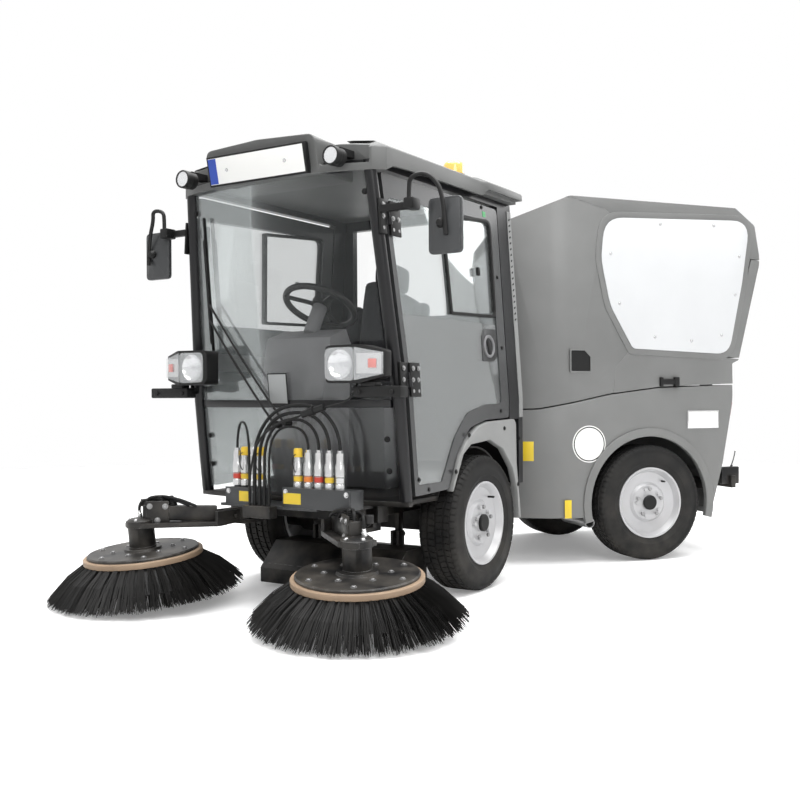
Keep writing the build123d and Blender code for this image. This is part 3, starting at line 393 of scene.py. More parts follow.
# edge wear: its colour, the bevel that finds the edges, its strength
paintWear = ((0.5, 0.5, 0.5), 0.004, 0.35)
steelWear = ((0.22, 0.22, 0.22), 0.004, 0.8)
finishes = {
    "bodyGrey": dict(colour=(0.163, 0.165, 0.162), rough=0.42, grain=(900, 0.05), wear=paintWear, dust=0.15),
    "roofGrey": dict(colour=(0.095, 0.097, 0.095), rough=0.5, grain=(900, 0.08), wear=paintWear),
    "fenderGrey": dict(colour=(0.235, 0.238, 0.235), rough=0.42, grain=(900, 0.05), wear=paintWear, dust=0.2),
    "cabBlack": dict(colour=(0.008, 0.008, 0.009), rough=0.3, grain=(700, 0.06), specular=0.35),
    "doorGrey": dict(colour=(0.040, 0.041, 0.042), rough=0.25, grain=(700, 0.03), specular=0.5),
    "frameBlack": dict(colour=(0.006, 0.006, 0.0065), rough=0.42, specular=0.3, grain=(500, 0.2),
                       wear=steelWear, dust=0.35),
    "trimBlack": dict(colour=(0.006, 0.006, 0.006), rough=0.5, specular=0.3, grain=(900, 0.15)),
    "rubberBlack": dict(colour=(0.005, 0.005, 0.005), rough=0.55, specular=0.3, grain=(600, 0.25)),
    "tyreBlack": dict(colour=(0.010, 0.010, 0.010), rough=0.7, specular=0.25, grain=(500, 0.25), dust=0.12,
                      dustHeight=0.7),
    "rimSilver": dict(colour=(0.46, 0.46, 0.47), rough=0.35, metal=0.2, grain=(900, 0.04), dust=0.2),
    "panelWhite": dict(colour=(0.62, 0.63, 0.64), rough=0.22, grain=(900, 0.02), coat=0.3, vary=0.02),
    "plateWhite": dict(colour=(0.82, 0.82, 0.80), rough=0.3, grain=(900, 0.03), vary=0.02),
    "labelYellow": dict(colour=(0.72, 0.52, 0.03), rough=0.4, grain=(900, 0.03), vary=0.03),
    "labelGreen": dict(colour=(0.04, 0.33, 0.10), rough=0.4, grain=(900, 0.03), vary=0.03),
    "bandBlue": dict(colour=(0.02, 0.06, 0.35), rough=0.35, grain=(900, 0.03), vary=0.03),
    "valveGrey": dict(colour=(0.05, 0.052, 0.054), rough=0.4, metal=0.3, grain=(500, 0.12), wear=steelWear),
    "steelBright": dict(colour=(0.60, 0.60, 0.60), rough=0.25, metal=0.9, grain=(800, 0.06), vary=0.1),
    "steelDull": dict(colour=(0.30, 0.30, 0.30), rough=0.45, metal=0.8, grain=(500, 0.15), vary=0.15),
    "sleeveYellow": dict(colour=(0.75, 0.50, 0.04), rough=0.45, grain=(700, 0.1)),
    "sleeveRed": dict(colour=(0.52, 0.05, 0.03), rough=0.45, grain=(700, 0.1)),
    "sleeveOrange": dict(colour=(0.70, 0.20, 0.03), rough=0.45, grain=(700, 0.1)),
    "lampLens": dict(colour=(0.75, 0.77, 0.78), rough=0.05, grain=(300, 0.03), coat=1.0, alpha=0.28),
    "lampMirror": dict(colour=(0.85, 0.85, 0.86), rough=0.08, metal=1.0, grain=(200, 0.05)),
    "lampPink": dict(colour=(0.60, 0.22, 0.20), rough=0.12, grain=(200, 0.15), coat=0.8),
    "beaconAmber": dict(colour=(0.80, 0.50, 0.10), rough=0.12, grain=(150, 0.3), coat=0.8,
                        glow=(0.8, 0.5, 0.1)),
    "seatCloth": dict(colour=(0.030, 0.030, 0.034), rough=0.9, grain=(900, 0), cloth=True, vary=0.35),
    "consoleGrey": dict(colour=(0.17, 0.17, 0.175), rough=0.6, grain=(350, 0.35)),
    "mirrorGlass": dict(colour=(0.75, 0.77, 0.78), rough=0.03, metal=1.0, grain=(100, 0.0)),
    "bristleBlack": dict(colour=(0.012, 0.0115, 0.011), rough=0.6, grain=(60, 0.3), vary=0.6, specular=0.25),
    "woodRing": dict(colour=(0.34, 0.24, 0.16), rough=0.6, grain=(120, 0.4), vary=0.25),
    "engineIron": dict(colour=(0.10, 0.10, 0.11), rough=0.5, metal=0.5, grain=(250, 0.4)),
    "liningGrey": dict(colour=(0.30, 0.31, 0.31), rough=0.6, grain=(300, 0.2), vary=0.05),
}
mats = {name: newMaterial(name, **values) for name, values in finishes.items()}

glass = {
    "rough": 0.02,
    "metal": 0.85,
    "index": 1.45,
    # tint, least cover, and how much the angle adds
    "glassClear": ((0.80, 0.84, 0.84), 0.0, 0.55),
    "glassDoor": ((0.80, 0.82, 0.82), 0.16, 1.3),
}


def newGlass(name):
    # a thin pane: reflects by angle and lets the rest through, with a little tint
    tint, cover, gain = glass[name]
    mat = bpy.data.materials.new(name)
    mat.use_nodes = True
    tree = mat.node_tree
    main = tree.nodes["Principled BSDF"]
    main.inputs["Roughness"].default_value = glass["rough"]
    main.inputs["Metallic"].default_value = glass["metal"]
    ripple = placeGroup(tree, "grain", Scale=2.0, Depth=0.0)
    tree.links.new(ripple.outputs["Normal"], main.inputs["Normal"])
    shadeOf = mixColour(tree, ripple.outputs["Value"], shade(tint, 0.94), shade(tint, 1.06))
    tree.links.new(shadeOf, main.inputs["Base Color"])
    fresnel = tree.nodes.new("ShaderNodeFresnel")
    fresnel.inputs["IOR"].default_value = glass["index"]
    level = tree.nodes.new("ShaderNodeMath")
    level.operation = "MULTIPLY_ADD"
    level.use_clamp = True
    level.inputs[1].default_value = gain
    level.inputs[2].default_value = cover
    tree.links.new(fresnel.outputs[0], level.inputs[0])
    tree.links.new(level.outputs[0], main.inputs["Alpha"])
    return mat


for name in ("glassClear", "glassDoor"):
    mats[name] = newGlass(name)
print("materials made:", len(mats))


# carried-over nodes keep their shape and get the materials
nodeMats = {
    "front_frame": "frameBlack", "front_axle": "frameBlack", "rear_frame": "frameBlack",
    "rear_axle": "frameBlack", "cab_floor": "frameBlack", "cab_frame": "cabBlack", "fenders": "fenderGrey",
    "cab_glass": "glassClear",
    "screen_bar": "cabBlack", "roof": "roofGrey", "plate_holder": "cabBlack", "roof_lamps": "trimBlack",
    "headlamps": "trimBlack", "mirrors": "trimBlack", "dashboard": "consoleGrey",
    "steering_wheel": "trimBlack", "seat": "seatCloth", "seat_box": "consoleGrey",
    "valve_blocks": "valveGrey", "rear_lower_body": "bodyGrey", "engine": "engineIron", "tail_lamps": "lampPink",
    "rear_bumper": "frameBlack", "exhaust": "steelDull", "hopper": "bodyGrey", "rear_hood": "bodyGrey",
    "side_panels": "panelWhite", "tailgate": "bodyGrey", "suction_mouth": "frameBlack",
}
stemMats = {
    "tyre": "tyreBlack", "rim": "rimSilver", "door_glass": "glassDoor", "door_": "doorGrey",
    "broom_carrier": "frameBlack", "broom_arm": "frameBlack", "broom_disc": "frameBlack",
    "bristles": "bristleBlack",
}


def materialOf(node):
    if node in nodeMats:
        return mats[nodeMats[node]]
    return mats[next(stemMats[stem] for stem in stemMats if node.startswith(stem))]


bodyOf = {}
for body, members in frame["record"]["behaviour"]["bodies"].items():
    for member in members:
        bodyOf[member] = body
for name, obj in nodes.items():
    obj.data.materials.clear()
    obj.data.materials.append(materialOf(name))


# shells: the node's own shape with its edges rounded
shells = {
    "merge": 0.00002,
    "flat": 0.6,                         # degrees under which facets are one face
    "segments": 2,
    "sharp": 28.0,
    "smooth": 38.0,
    "widths": {
        "hopper": 0.004, "rear_hood": 0.004, "rear_lower_body": 0.004, "tailgate": 0.004,
        "fenders": 0.004, "rear_bumper": 0.004, "front_frame": 0.003, "rear_frame": 0.003,
        "dashboard": 0.004, "seat_box": 0.006, "valve_blocks": 0.0018,
        "suction_mouth": 0.003, "cab_floor": 0.003, "engine": 0.008, "broom_arm_left": 0.003,
        "broom_arm_right": 0.003, "broom_carrier_left": 0.003, "broom_carrier_right": 0.003,
        "screen_bar": 0.002, "plate_holder": 0.0015,
    },
    # larger rounds on the corners of the profile, which run across the machine
    "crossCorners": {"hopper": 0.075, "rear_hood": 0.075, "rear_lower_body": 0.045, "tailgate": 0.03},
    "crossRun": 0.3,
    "crossTurn": (6, 75),
    "crossAbove": 0.6,
}


def bevelCrossEdges(obj, width):
    across = rearTurn.to_3x3() @ Vector((0, 1, 0))
    low, high = (math.radians(degrees) for degrees in shells["crossTurn"])
    work = bmesh.new()
    work.from_mesh(obj.data)
    chosen = []
    for edge in work.edges:
        run = edge.verts[1].co - edge.verts[0].co
        if len(edge.link_faces) != 2 or run.length < shells["crossRun"]:
            continue
        if abs(run.normalized().dot(across)) < 0.999:
            continue
        turn = edge.link_faces[0].normal.angle(edge.link_faces[1].normal, 0)
        height = (edge.verts[0].co.z + edge.verts[1].co.z) / 2
        if low < turn < high and height > shells["crossAbove"]:
            chosen.append(edge)
    if chosen:
        bmesh.ops.bevel(work, geom=chosen, offset=width, offset_type="OFFSET", segments=8, profile=0.5,
                        affect="EDGES", clamp_overlap=True)
    work.to_mesh(obj.data)
    work.free()


def roundedCopy(name, width):
    source = nodes[name]
    obj = source.copy()
    obj.data = source.data.copy()
    obj.name = name + "Shell"
    obj.parent = None
    obj.matrix_world = Matrix.Identity(4)
    bpy.context.scene.collection.objects.link(obj)
    activate(obj)
    bpy.ops.object.mode_set(mode="EDIT")
    bpy.ops.mesh.select_all(action="SELECT")
    bpy.ops.mesh.remove_doubles(threshold=shells["merge"])
    bpy.ops.mesh.dissolve_limited(angle_limit=math.radians(shells["flat"]))
    bpy.ops.object.mode_set(mode="OBJECT")
    if name in shells["crossCorners"]:
        bevelCrossEdges(obj, shells["crossCorners"][name])
    bevel = obj.modifiers.new("bevel", "BEVEL")
    bevel.width = width
    bevel.segments = shells["segments"]
    bevel.limit_method = "ANGLE"
    bevel.angle_limit = math.radians(shells["sharp"])
    bevel.use_clamp_overlap = True
    bevel.miter_outer = "MITER_ARC"
    applyAll(obj)
    activate(obj)
    bpy.ops.object.shade_smooth_by_angle(angle=math.radians(shells["smooth"]))
    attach(obj, bodyOf[name])
    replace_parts(obj, name)


for name, width in shells["widths"].items():
    roundedCopy(name, width)
print("shells rounded:", len(shells["widths"]))


# small builders: a piece is made where it belongs and rides on its body

def finishPiece(obj, name, body, smooth=35):
    obj.name = name
    activate(obj)
    bpy.ops.object.transform_apply(location=True, rotation=True, scale=True)
    if smooth:
        bpy.ops.object.shade_smooth_by_angle(angle=math.radians(smooth))
    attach(obj, body)
    return obj


def meshPiece(work, name, material):
    # ends the work on a mesh: an object in the scene with its material
    mesh = bpy.data.meshes.new(name)
    work.to_mesh(mesh)
    work.free()
    obj = bpy.data.objects.new(name, mesh)
    bpy.context.scene.collection.objects.link(obj)
    obj.data.materials.append(mats[material])
    return obj


def bevelled(obj, width, segments=2, angle=35):
    modifier = obj.modifiers.new("bevel", "BEVEL")
    modifier.width = width
    modifier.segments = segments
    modifier.limit_method = "ANGLE"
    modifier.angle_limit = math.radians(angle)
    applyAll(obj)
    return obj


def turnTo(direction, spin=0.0):
    lie = Vector(direction).normalized().to_track_quat("Z", "Y").to_matrix().to_4x4()
    return lie @ Matrix.Rotation(spin, 4, "Z")


def placeIt(obj, at, direction=(0, 0, 1), spin=0.0, size=(1, 1, 1)):
    obj.matrix_world = Matrix.Translation(Vector(at)) @ turnTo(direction, spin) @ Matrix.Diagonal((*size, 1))


def blockAt(at, size, material, direction=(0, 0, 1), spin=0.0, bevel=0.002):
    deselect()
    bpy.ops.mesh.primitive_cube_add(size=1)
    obj = bpy.context.active_object
    placeIt(obj, at, direction, spin, size)
    activate(obj)
    bpy.ops.object.transform_apply(location=False, rotation=False, scale=True)
    if bevel:
        bevelled(obj, bevel, 2, 30)
    obj.data.materials.append(mats[material])
    return obj


def turnedAt(at, profile, material, direction=(0, 0, 1), steps=32, spin=0.0):
    # a closed body of revolution from rows of (radius, height)
    work = bmesh.new()
    spots = [work.verts.new((radius, 0, height)) for radius, height in profile]
    for first, second in zip(spots, spots[1:]):
        work.edges.new((first, second))
    bmesh.ops.spin(work, geom=work.verts[:] + work.edges[:], cent=(0, 0, 0), axis=(0, 0, 1),
                   angle=2 * math.pi, steps=steps, use_merge=True)
    bmesh.ops.remove_doubles(work, verts=work.verts[:], dist=0.00001)
    bmesh.ops.recalc_face_normals(work, faces=work.faces[:])
    obj = meshPiece(work, "turned", material)
    placeIt(obj, at, direction, spin)
    return obj


def boltAt(at, direction, radius=0.008, material="steelDull", washer=True, height=None):
    # a head on its washer, or a six-sided head alone
    tall = height or radius * 0.75
    foot = radius * (1.45 if washer else 1.0)
    rim = tall * 0.15
    rows = [(0, tall), (radius * 0.82, tall), (radius, tall * 0.8), (radius, rim), (foot, rim),
            (foot, -0.001), (0, -0.001)]
    return turnedAt(at, rows, material, direction, 12 if washer else 6)


def joined(pieces, name, body, smooth=35):
    for obj in pieces:
        activate(obj)
        bpy.ops.object.transform_apply(location=True, rotation=True, scale=True)
    deselect()
    for obj in pieces:
        obj.select_set(True)
    bpy.context.view_layer.objects.active = pieces[0]
    if len(pieces) > 1:
        bpy.ops.object.join()
    return finishPiece(bpy.context.view_layer.objects.active, name, body, smooth)


def lineThrough(name, points, steps, smoothLine=True):
    line = bpy.data.curves.new(name, "CURVE")
    line.dimensions = "3D"
    line.resolution_u = steps
    spline = line.splines.new("NURBS" if smoothLine else "POLY")
    spline.points.add(len(points) - 1)
    for spot, point in zip(spline.points, points):
        spot.co = (*point, 1)
    if smoothLine:
        spline.order_u = 3
        spline.use_endpoint_u = True
    obj = bpy.data.objects.new(name, line)
    bpy.context.scene.collection.objects.link(obj)
    return obj


def thicken(obj, diameter, sides):
    obj.data.bevel_depth = diameter / 2
    obj.data.bevel_resolution = sides
    obj.data.use_fill_caps = True


def tubeAlong(points, diameter, material, smoothLine=True):
    # a plain bent rod or cable that is fixed at both ends
    obj = lineThrough("tube", points, 10, smoothLine)
    thicken(obj, diameter, 3)
    activate(obj)
    bpy.ops.object.convert(target="MESH")
    obj = bpy.context.view_layer.objects.active
    obj.data.materials.clear()
    obj.data.materials.append(mats[material])
    return obj


# tyres: a road tread of cut blocks with grooves round the tyre, and ribbed sidewalls
tread = {
    "radius": 0.318,
    # radius and place across, for one half of the carcass
    "carcass": ((0.195, 0.080), (0.199, 0.087), (0.224, 0.0955), (0.226, 0.0975), (0.256, 0.0975),
                (0.258, 0.0962), (0.282, 0.0940), (0.299, 0.0900), (0.306, 0.0800)),
    "bandHalf": 0.0700,
    "bore": (0.1815, 0.076),
    "rows": ((-0.058, 0.024), (-0.020, 0.031), (0.020, 0.031), (0.058, 0.024)),   # place across, width
    "grooveDepth": 0.008,
    "blocks": 64,
    "gap": 0.0028,
    "slant": 0.22,
    "shoulder": ((0.3135, 0.074), (0.3095, 0.0835), (0.2995, 0.0925), (0.2860, 0.0955)),
}


def tyrePiece(node, body, centre, axle):
    s = tread
    base = s["radius"] - s["grooveDepth"]
    bore, boreHalf = s["bore"]
    profile = [(radius, -across) for radius, across in s["carcass"]]
    profile += [(base, -s["bandHalf"]), (base, s["bandHalf"]), *reversed(s["carcass"])]
    profile += [(bore, boreHalf), (bore, -boreHalf), profile[0]]
    carcass = turnedAt((0, 0, 0), profile, "tyreBlack", steps=96)
    step = 2 * math.pi / s["blocks"]
    work = bmesh.new()
    for index, (across, width) in enumerate(s["rows"]):
        slant = s["slant"] * (1 if index % 2 else -1)
        for number in range(s["blocks"]):
            angle = (number + (0.5 if across > 0 else 0)) * step
            half = (step * s["radius"] - s["gap"]) / 2
            spots = []
            for radius, shrink in ((base - 0.002, 0.0), (s["radius"], 0.0009)):
                for sideways, along in ((-1, -1), (1, -1), (1, 1), (-1, 1)):
                    x = across + sideways * (width / 2 - shrink)
                    y = along * (half - shrink) + slant * (x - across)
                    edge = max(0.0, abs(x) - 0.066) * 0.35 if radius == s["radius"] else 0.0
                    turn = angle + y / s["radius"]
                    spots.append(work.verts.new(((radius - edge) * math.cos(turn),
                                                 (radius - edge) * math.sin(turn), x)))
            low, high = spots[:4], spots[4:]
            work.faces.new(high)
            for first in range(4):
                second = (first + 1) % 4
                work.faces.new((low[first], low[second], high[second], high[first]))
    # shoulder blocks run down the side
    for side in (-1, 1):
        for number in range(s["blocks"]):
            angle = (number + 0.25) * step
            half = (step * s["radius"] - 2.2 * s["gap"]) / 2
            spots = []
            for radius, across in s["shoulder"]:
                for along in (-1, 1):
                    turn = angle + along * half * (0.8 if radius < 0.29 else 1.0) / s["radius"]
                    spots.append(work.verts.new((radius * math.cos(turn), radius * math.sin(turn),
                                                 side * across)))
            for row in range(3):
                a, b, c, d = spots[2 * row], spots[2 * row + 1], spots[2 * row + 3], spots[2 * row + 2]
                work.faces.new((a, b, c, d) if side > 0 else (a, d, c, b))
    bmesh.ops.recalc_face_normals(work, faces=work.faces[:])
    pieces = [carcass, meshPiece(work, "treadBlocks", "tyreBlack")]
    for obj in pieces:
        obj.matrix_world = Matrix.Translation(centre) @ turnTo(axle)
    whole = joined(pieces, node + "Tread", body)
    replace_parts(whole, node)


halfTrack, axleHeight = 0.522, 0.318
wheels = {
    "front": (0.970, frontPoint, Vector((0, 1, 0))),
    "rear": (-0.829, rearPoint, rearTurn.to_3x3() @ Vector((0, 1, 0))),
}
for unit, (along, place, axle) in wheels.items():
    for side, word in ((1, "left"), (-1, "right")):
        tyrePiece(f"tyre_{unit}_{word}", f"wheel_{unit}_{word}", place(along, side * halfTrack, axleHeight),
                  side * axle)
print("tyres made")


# outlines: rows of (along, up, corner radius), seen from the side

def roundedPoints(rows, steps=6):
    points = []
    count = len(rows)
    for index, (x, z, radius) in enumerate(rows):
        here = Vector((x, z))
        back = Vector(rows[index - 1][:2]) - here
        ahead = Vector(rows[(index + 1) % count][:2]) - here
        if radius <= 0 or back.length == 0 or ahead.length == 0:
            points.append(here)
            continue
        half = back.angle(ahead) / 2
        reach = min(radius / math.tan(half), 0.49 * back.length, 0.49 * ahead.length)
        start, end = here + back.normalized() * reach, here + ahead.normalized() * reach
        for step in range(steps + 1):
            t = step / steps
            points.append((1 - t) ** 2 * start + 2 * t * (1 - t) * here + t * t * end)
    return points


def sidePlate(rows, low, high, material, place=frontPoint, side=1, holes=(), surface=None, cut=None,
              bevel=0.0):
    # low and high are distances from the middle, or depths inwards from the surface
    work = bmesh.new()
    for loop in (rows, *holes):
        spots = [work.verts.new((p.x, 0, p.y)) for p in roundedPoints(loop)]
        for index, spot in enumerate(spots):
            work.edges.new((spot, spots[(index + 1) % len(spots)]))
    if holes:
        bmesh.ops.triangle_fill(work, edges=work.edges[:], use_beauty=True, use_dissolve=False)
    else:
        bmesh.ops.contextual_create(work, geom=work.edges[:])
    if cut:
        bmesh.ops.bisect_plane(work, geom=work.verts[:] + work.edges[:] + work.faces[:],
                               plane_co=(0, 0, cut), plane_no=(0, 0, 1))
    first = work.verts[:]
    made = bmesh.ops.extrude_face_region(work, geom=work.faces[:])
    second = [v for v in made["geom"] if isinstance(v, bmesh.types.BMVert)]
    for spots, depth in ((first, low), (second, high)):
        for spot in spots:
            x, z = spot.co.x, spot.co.z
            spot.co = place(x, side * (surface(x, z) - depth if surface else depth), z)
    bmesh.ops.recalc_face_normals(work, faces=work.faces[:])
    obj = meshPiece(work, "plate", material)
    return bevelled(obj, bevel, 2, 50) if bevel else obj


def cutWith(obj, tool, operation="DIFFERENCE"):
    modifier = obj.modifiers.new("cut", "BOOLEAN")
    modifier.operation = operation
    modifier.solver = "EXACT"
    modifier.object = tool
    applyAll(obj)
    bpy.data.objects.remove(tool)
    return obj


def prism(rows, axis, reach, material, side=1):
    # an outline seen from above ("z") or from the front ("x"), drawn out over its reach
    points = roundedPoints(rows)
    work = bmesh.new()
    ends = []
    for level in reach:
        spots = []
        for p in points:
            spot = (p.x, side * p.y, level) if axis == "z" else (level, side * p.x, p.y)
            spots.append(work.verts.new(frontPoint(*spot)))
        ends.append(spots)
        work.faces.new(spots)
    count = len(points)
    for index in range(count):
        after = (index + 1) % count
        work.faces.new((ends[0][index], ends[0][after], ends[1][after], ends[1][index]))
    bmesh.ops.recalc_face_normals(work, faces=work.faces[:])
    return meshPiece(work, "prism", material)


def fourSided(near, far, material):
    # a solid between two four-cornered faces
    work = bmesh.new()
    rings = [[work.verts.new(spot) for spot in ring] for ring in (near, far)]
    for index in range(4):
        after = (index + 1) % 4
        work.faces.new((rings[0][index], rings[0][after], rings[1][after], rings[1][index]))
    for ring in rings:
        work.faces.new(ring)
    bmesh.ops.recalc_face_normals(work, faces=work.faces[:])
    return meshPiece(work, "solid", material)


def sideSpot(place, side, out=0.0):
    # a place on one side of the front unit
    x, y, z = place
    return frontPoint(x, side * (out + y), z)


# the cab's faces: sides that lean in above the waist, and a bowed windscreen that leans forward
cab = {
    "half": 0.585,
    "waist": 0.9,
    "leanIn": 0.068 / 0.988,
    "postFoot": (1.590, 0.5),
    "postLean": 0.1159,
    "bow": 0.085,
}


def cabSide(x, z):
    return cab["half"] - max(0, z - cab["waist"]) * cab["leanIn"]


def postX(z):
    x, foot = cab["postFoot"]
    return x + cab["postLean"] * (z - foot)


def screenX(y, z, proud=0.0):
    half = cabSide(0, z)
    bow = cab["bow"]
    radius = (half * half + bow * bow) / (2 * bow)
    return postX(z) + bow - radius + math.sqrt(radius * radius - y * y) + proud


# doors: one large pane in a dark printed border, with the sliding window and the ring handle
door = {
    "wall": 0.036,
    # depths inwards from the face, outer and inner
    "pane": (0.004, 0.010),
    "sliderPane": (0.008, 0.013),
    "seal": (-0.002, 0.022),
    "railDepth": (0.0125, 0.034),
    "handlePlateDepth": (0.001, 0.034),
    "faceNormal": 0.068,                 # how far the upper face looks up
    "outline": ((1.550, 0.491, 0.01), (1.264, 0.500, 0.01), (1.178, 0.668, 0.15), (1.066, 0.768, 0.11),
                (0.906, 0.800, 0.06), (0.660, 0.806, 0.02), (0.660, 1.843, 0.03), (1.7067, 1.843, 0.01)),
    "glazing": ((1.523, 0.537, 0.02), (1.326, 0.537, 0.02), (1.209, 0.730, 0.15), (1.086, 0.838, 0.11),
                (0.906, 0.874, 0.06), (0.742, 0.876, 0.02), (0.742, 1.775, 0.04), (1.664, 1.745, 0.025)),
    "lower": ((1.523, 0.537, 0.02), (1.326, 0.537, 0.02), (1.209, 0.730, 0.15), (1.086, 0.838, 0.11),
              (0.906, 0.874, 0.06), (0.742, 0.876, 0.02), (0.742, 1.262, 0.0), (1.607, 1.262, 0.0)),
    "upper": ((1.608, 1.263, 0.0), (0.742, 1.263, 0.0), (0.742, 1.775, 0.04), (1.664, 1.745, 0.025)),
    "slider": ((1.188, 1.286, 0.012), (1.218, 1.747, 0.012), (0.734, 1.781, 0.05), (0.738, 1.296, 0.04)),
    "sliderHole": ((1.173, 1.300, 0.008), (1.202, 1.734, 0.008), (0.750, 1.765, 0.04), (0.753, 1.310, 0.03)),
    "rail": ((1.596, 1.040, 0.0), (0.714, 1.040, 0.0), (0.714, 1.108, 0.0), (1.604, 1.128, 0.0)),
    "handlePlate": ((0.790, 1.080, 0.0), (0.905, 1.080, 0.01), (0.905, 1.200, 0.01), (0.875, 1.238, 0.01),
                    (0.745, 1.238, 0.0), (0.745, 1.110, 0.0)),
    "handle": (0.838, 1.153, 0.055),
    "bolts": ((0.822, 1.831), (0.747, 0.840), (1.522, 0.560), (1.440, 0.512), (0.700, 1.50), (0.700, 1.15)),
    "catch": (0.908, 1.509),
    "hinges": (0.985, 1.655),
    "hingePlate": (0.078, 0.145, 0.009),
    "hingeInset": 0.036,
    "hingeProud": 0.016,
    "hingeRows": (-0.048, 0.0, 0.048),
    "greenLabel": (0.80, 1.800, 0.030, 0.026),
}


def hingeSpot(z):
    return postX(z) - door["hingeInset"], cabSide(0, z) + door["hingeProud"]


def doorPieces(side, word):
    s = door
    body = f"door_leaf_{word}"

    def plate(rows, depths, material, holes=(), bevel=0.0):
        return sidePlate(rows, *depths, material, side=side, holes=holes, surface=cabSide, cut=cab["waist"],
                         bevel=bevel)

    def pane(rows, depths, material, name, holes=()):
        return finishPiece(plate(rows, depths, material, holes), name, body, 0)

    border = plate(s["outline"], (0.0, s["wall"]), "doorGrey", (s["glazing"],))
    finishPiece(border, f"doorBorder_{word}", body)
    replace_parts(border, f"door_{word}")
    lower = pane(s["lower"], s["pane"], "glassDoor", f"doorPaneLower_{word}")
    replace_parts(lower, f"door_glass_{word}")
    pane(s["upper"], s["pane"], "glassClear", f"doorPaneUpper_{word}", (s["slider"],))
    pane(s["sliderHole"], s["sliderPane"], "glassClear", f"doorSlider_{word}")
    seal = plate(s["slider"], s["seal"], "rubberBlack", (s["sliderHole"],), 0.002)
    finishPiece(seal, f"sliderSeal_{word}", body)
    finishPiece(plate(s["rail"], s["railDepth"], "liningGrey", (), 0.003), f"doorRail_{word}", body)
    outward = (0, side, s["faceNormal"])
    trims = [plate(s["handlePlate"], s["handlePlateDepth"], "doorGrey", (), 0.0015)]
    x, z, radius = s["handle"]
    middle = frontPoint(x, side * (cabSide(x, z) - 0.001), z)
    ring = [(radius, -0.01), (radius, 0.004), (radius - 0.004, 0.0075), (radius - 0.010, 0.0075),
            (radius - 0.014, 0.003), (radius - 0.015, -0.01), (radius, -0.01)]
    cup = [(radius - 0.014, -0.002), (0.022, -0.008), (0, -0.008)]
    trims.append(turnedAt(middle, ring, "consoleGrey", outward, 40))
    trims.append(turnedAt(middle, cup, "rubberBlack", outward, 40))
    trims.append(blockAt(middle, (0.026, 2 * radius - 0.02, 0.008), "rubberBlack", outward, 0.3, 0.003))
    for x, z in s["bolts"]:
        trims.append(boltAt(frontPoint(x, side * cabSide(x, z), z), outward, 0.0075, "rubberBlack"))
    x, z = s["catch"]
    trims.append(blockAt(frontPoint(x, side * (cabSide(x, z) + 0.004), z), (0.022, 0.040, 0.014), "trimBlack",
                         outward, 0, 0.003))
    for z in s["hinges"]:
        x, y = hingeSpot(z)
        trims.append(blockAt(frontPoint(x - 0.056, side * (y - 0.008), z), s["hingePlate"], "trimBlack",
                             outward, 0, 0.002))
        for row in s["hingeRows"]:
            for along in (-0.078, -0.036):
                spot = frontPoint(x + along, side * (y - 0.0035), z + row)
                trims.append(boltAt(spot, outward, 0.0075, "steelDull"))
    x, z, wide, tall = s["greenLabel"]
    trims.append(blockAt(frontPoint(x, side * (cabSide(x, z) + 0.0006), z), (wide, tall, 0.0012),
                         "labelGreen", outward, 0, 0.0))
    joined(trims, f"doorTrim_{word}", body)


for side, word in ((1, "left"), (-1, "right")):
    doorPieces(side, word)
print("doors made")


# roof cap with the number plate's hood and the two lamp bays
roofSizes = {
    "sideXs": (0.483, 0.850, 0.882, 1.100, 1.480, 1.672, 1.725),
    "corner": (1.768, 0.520),
    "nose": 1.872,
    "half": 0.562,
    "rearHalf": 0.578,
    # height and how far in from the rim
    "levels": ((1.934, 0.0), (1.941, 0.004), (1.966, 0.052), (1.9705, 0.062), (1.984, 0.165), (1.9865, 0.20)),
    "skirtWall": 0.024,
    "cabTop": 1.889,
    "bay": (1.752, 0.300, 0.506, 1.872),
    "hoodHalf": 0.302,
    "hoodLow": 1.842,
    "hoodTop": (2.000, 2.014),           # at its shoulders and at the middle
    "hoodBack": (1.590, 1.980),
    "plateFoot": (1.838, 1.844),
    "plateHead": (1.865, 1.969),
    "wideBefore": 0.866,
    # the skirt's lower edge steps up towards the rear
    "skirt": ((0.866, 1.907), (1.490, 1.874), (1.700, 1.866), (9.0, 1.842)),
    "round": 0.006,
}


def roofRim(inset, arcSteps=14):
    s = roofSizes
    left = []
    for x in s["sideXs"]:
        half = s["rearHalf"] if x < s["wideBefore"] else s["half"]
        left.append(Vector((max(x, s["sideXs"][0] + inset), half - inset)))
    cornerX, cornerY = s["corner"][0] - inset, s["corner"][1] - inset
    left.append(Vector((cornerX, cornerY)))
    nose = s["nose"] - inset
    bow = nose - cornerX
    radius = (cornerY ** 2 + bow ** 2) / (2 * bow)
    front = []
    for step in range(1, arcSteps):
        y = cornerY * (1 - 2 * step / arcSteps)
        front.append(Vector((nose - radius + math.sqrt(radius * radius - y * y), y)))
    right = [Vector((p.x, -p.y)) for p in reversed(left)]
    return left + front + right


def skirtLow(x):
    return next(z for edge, z in roofSizes["skirt"] if x < edge)


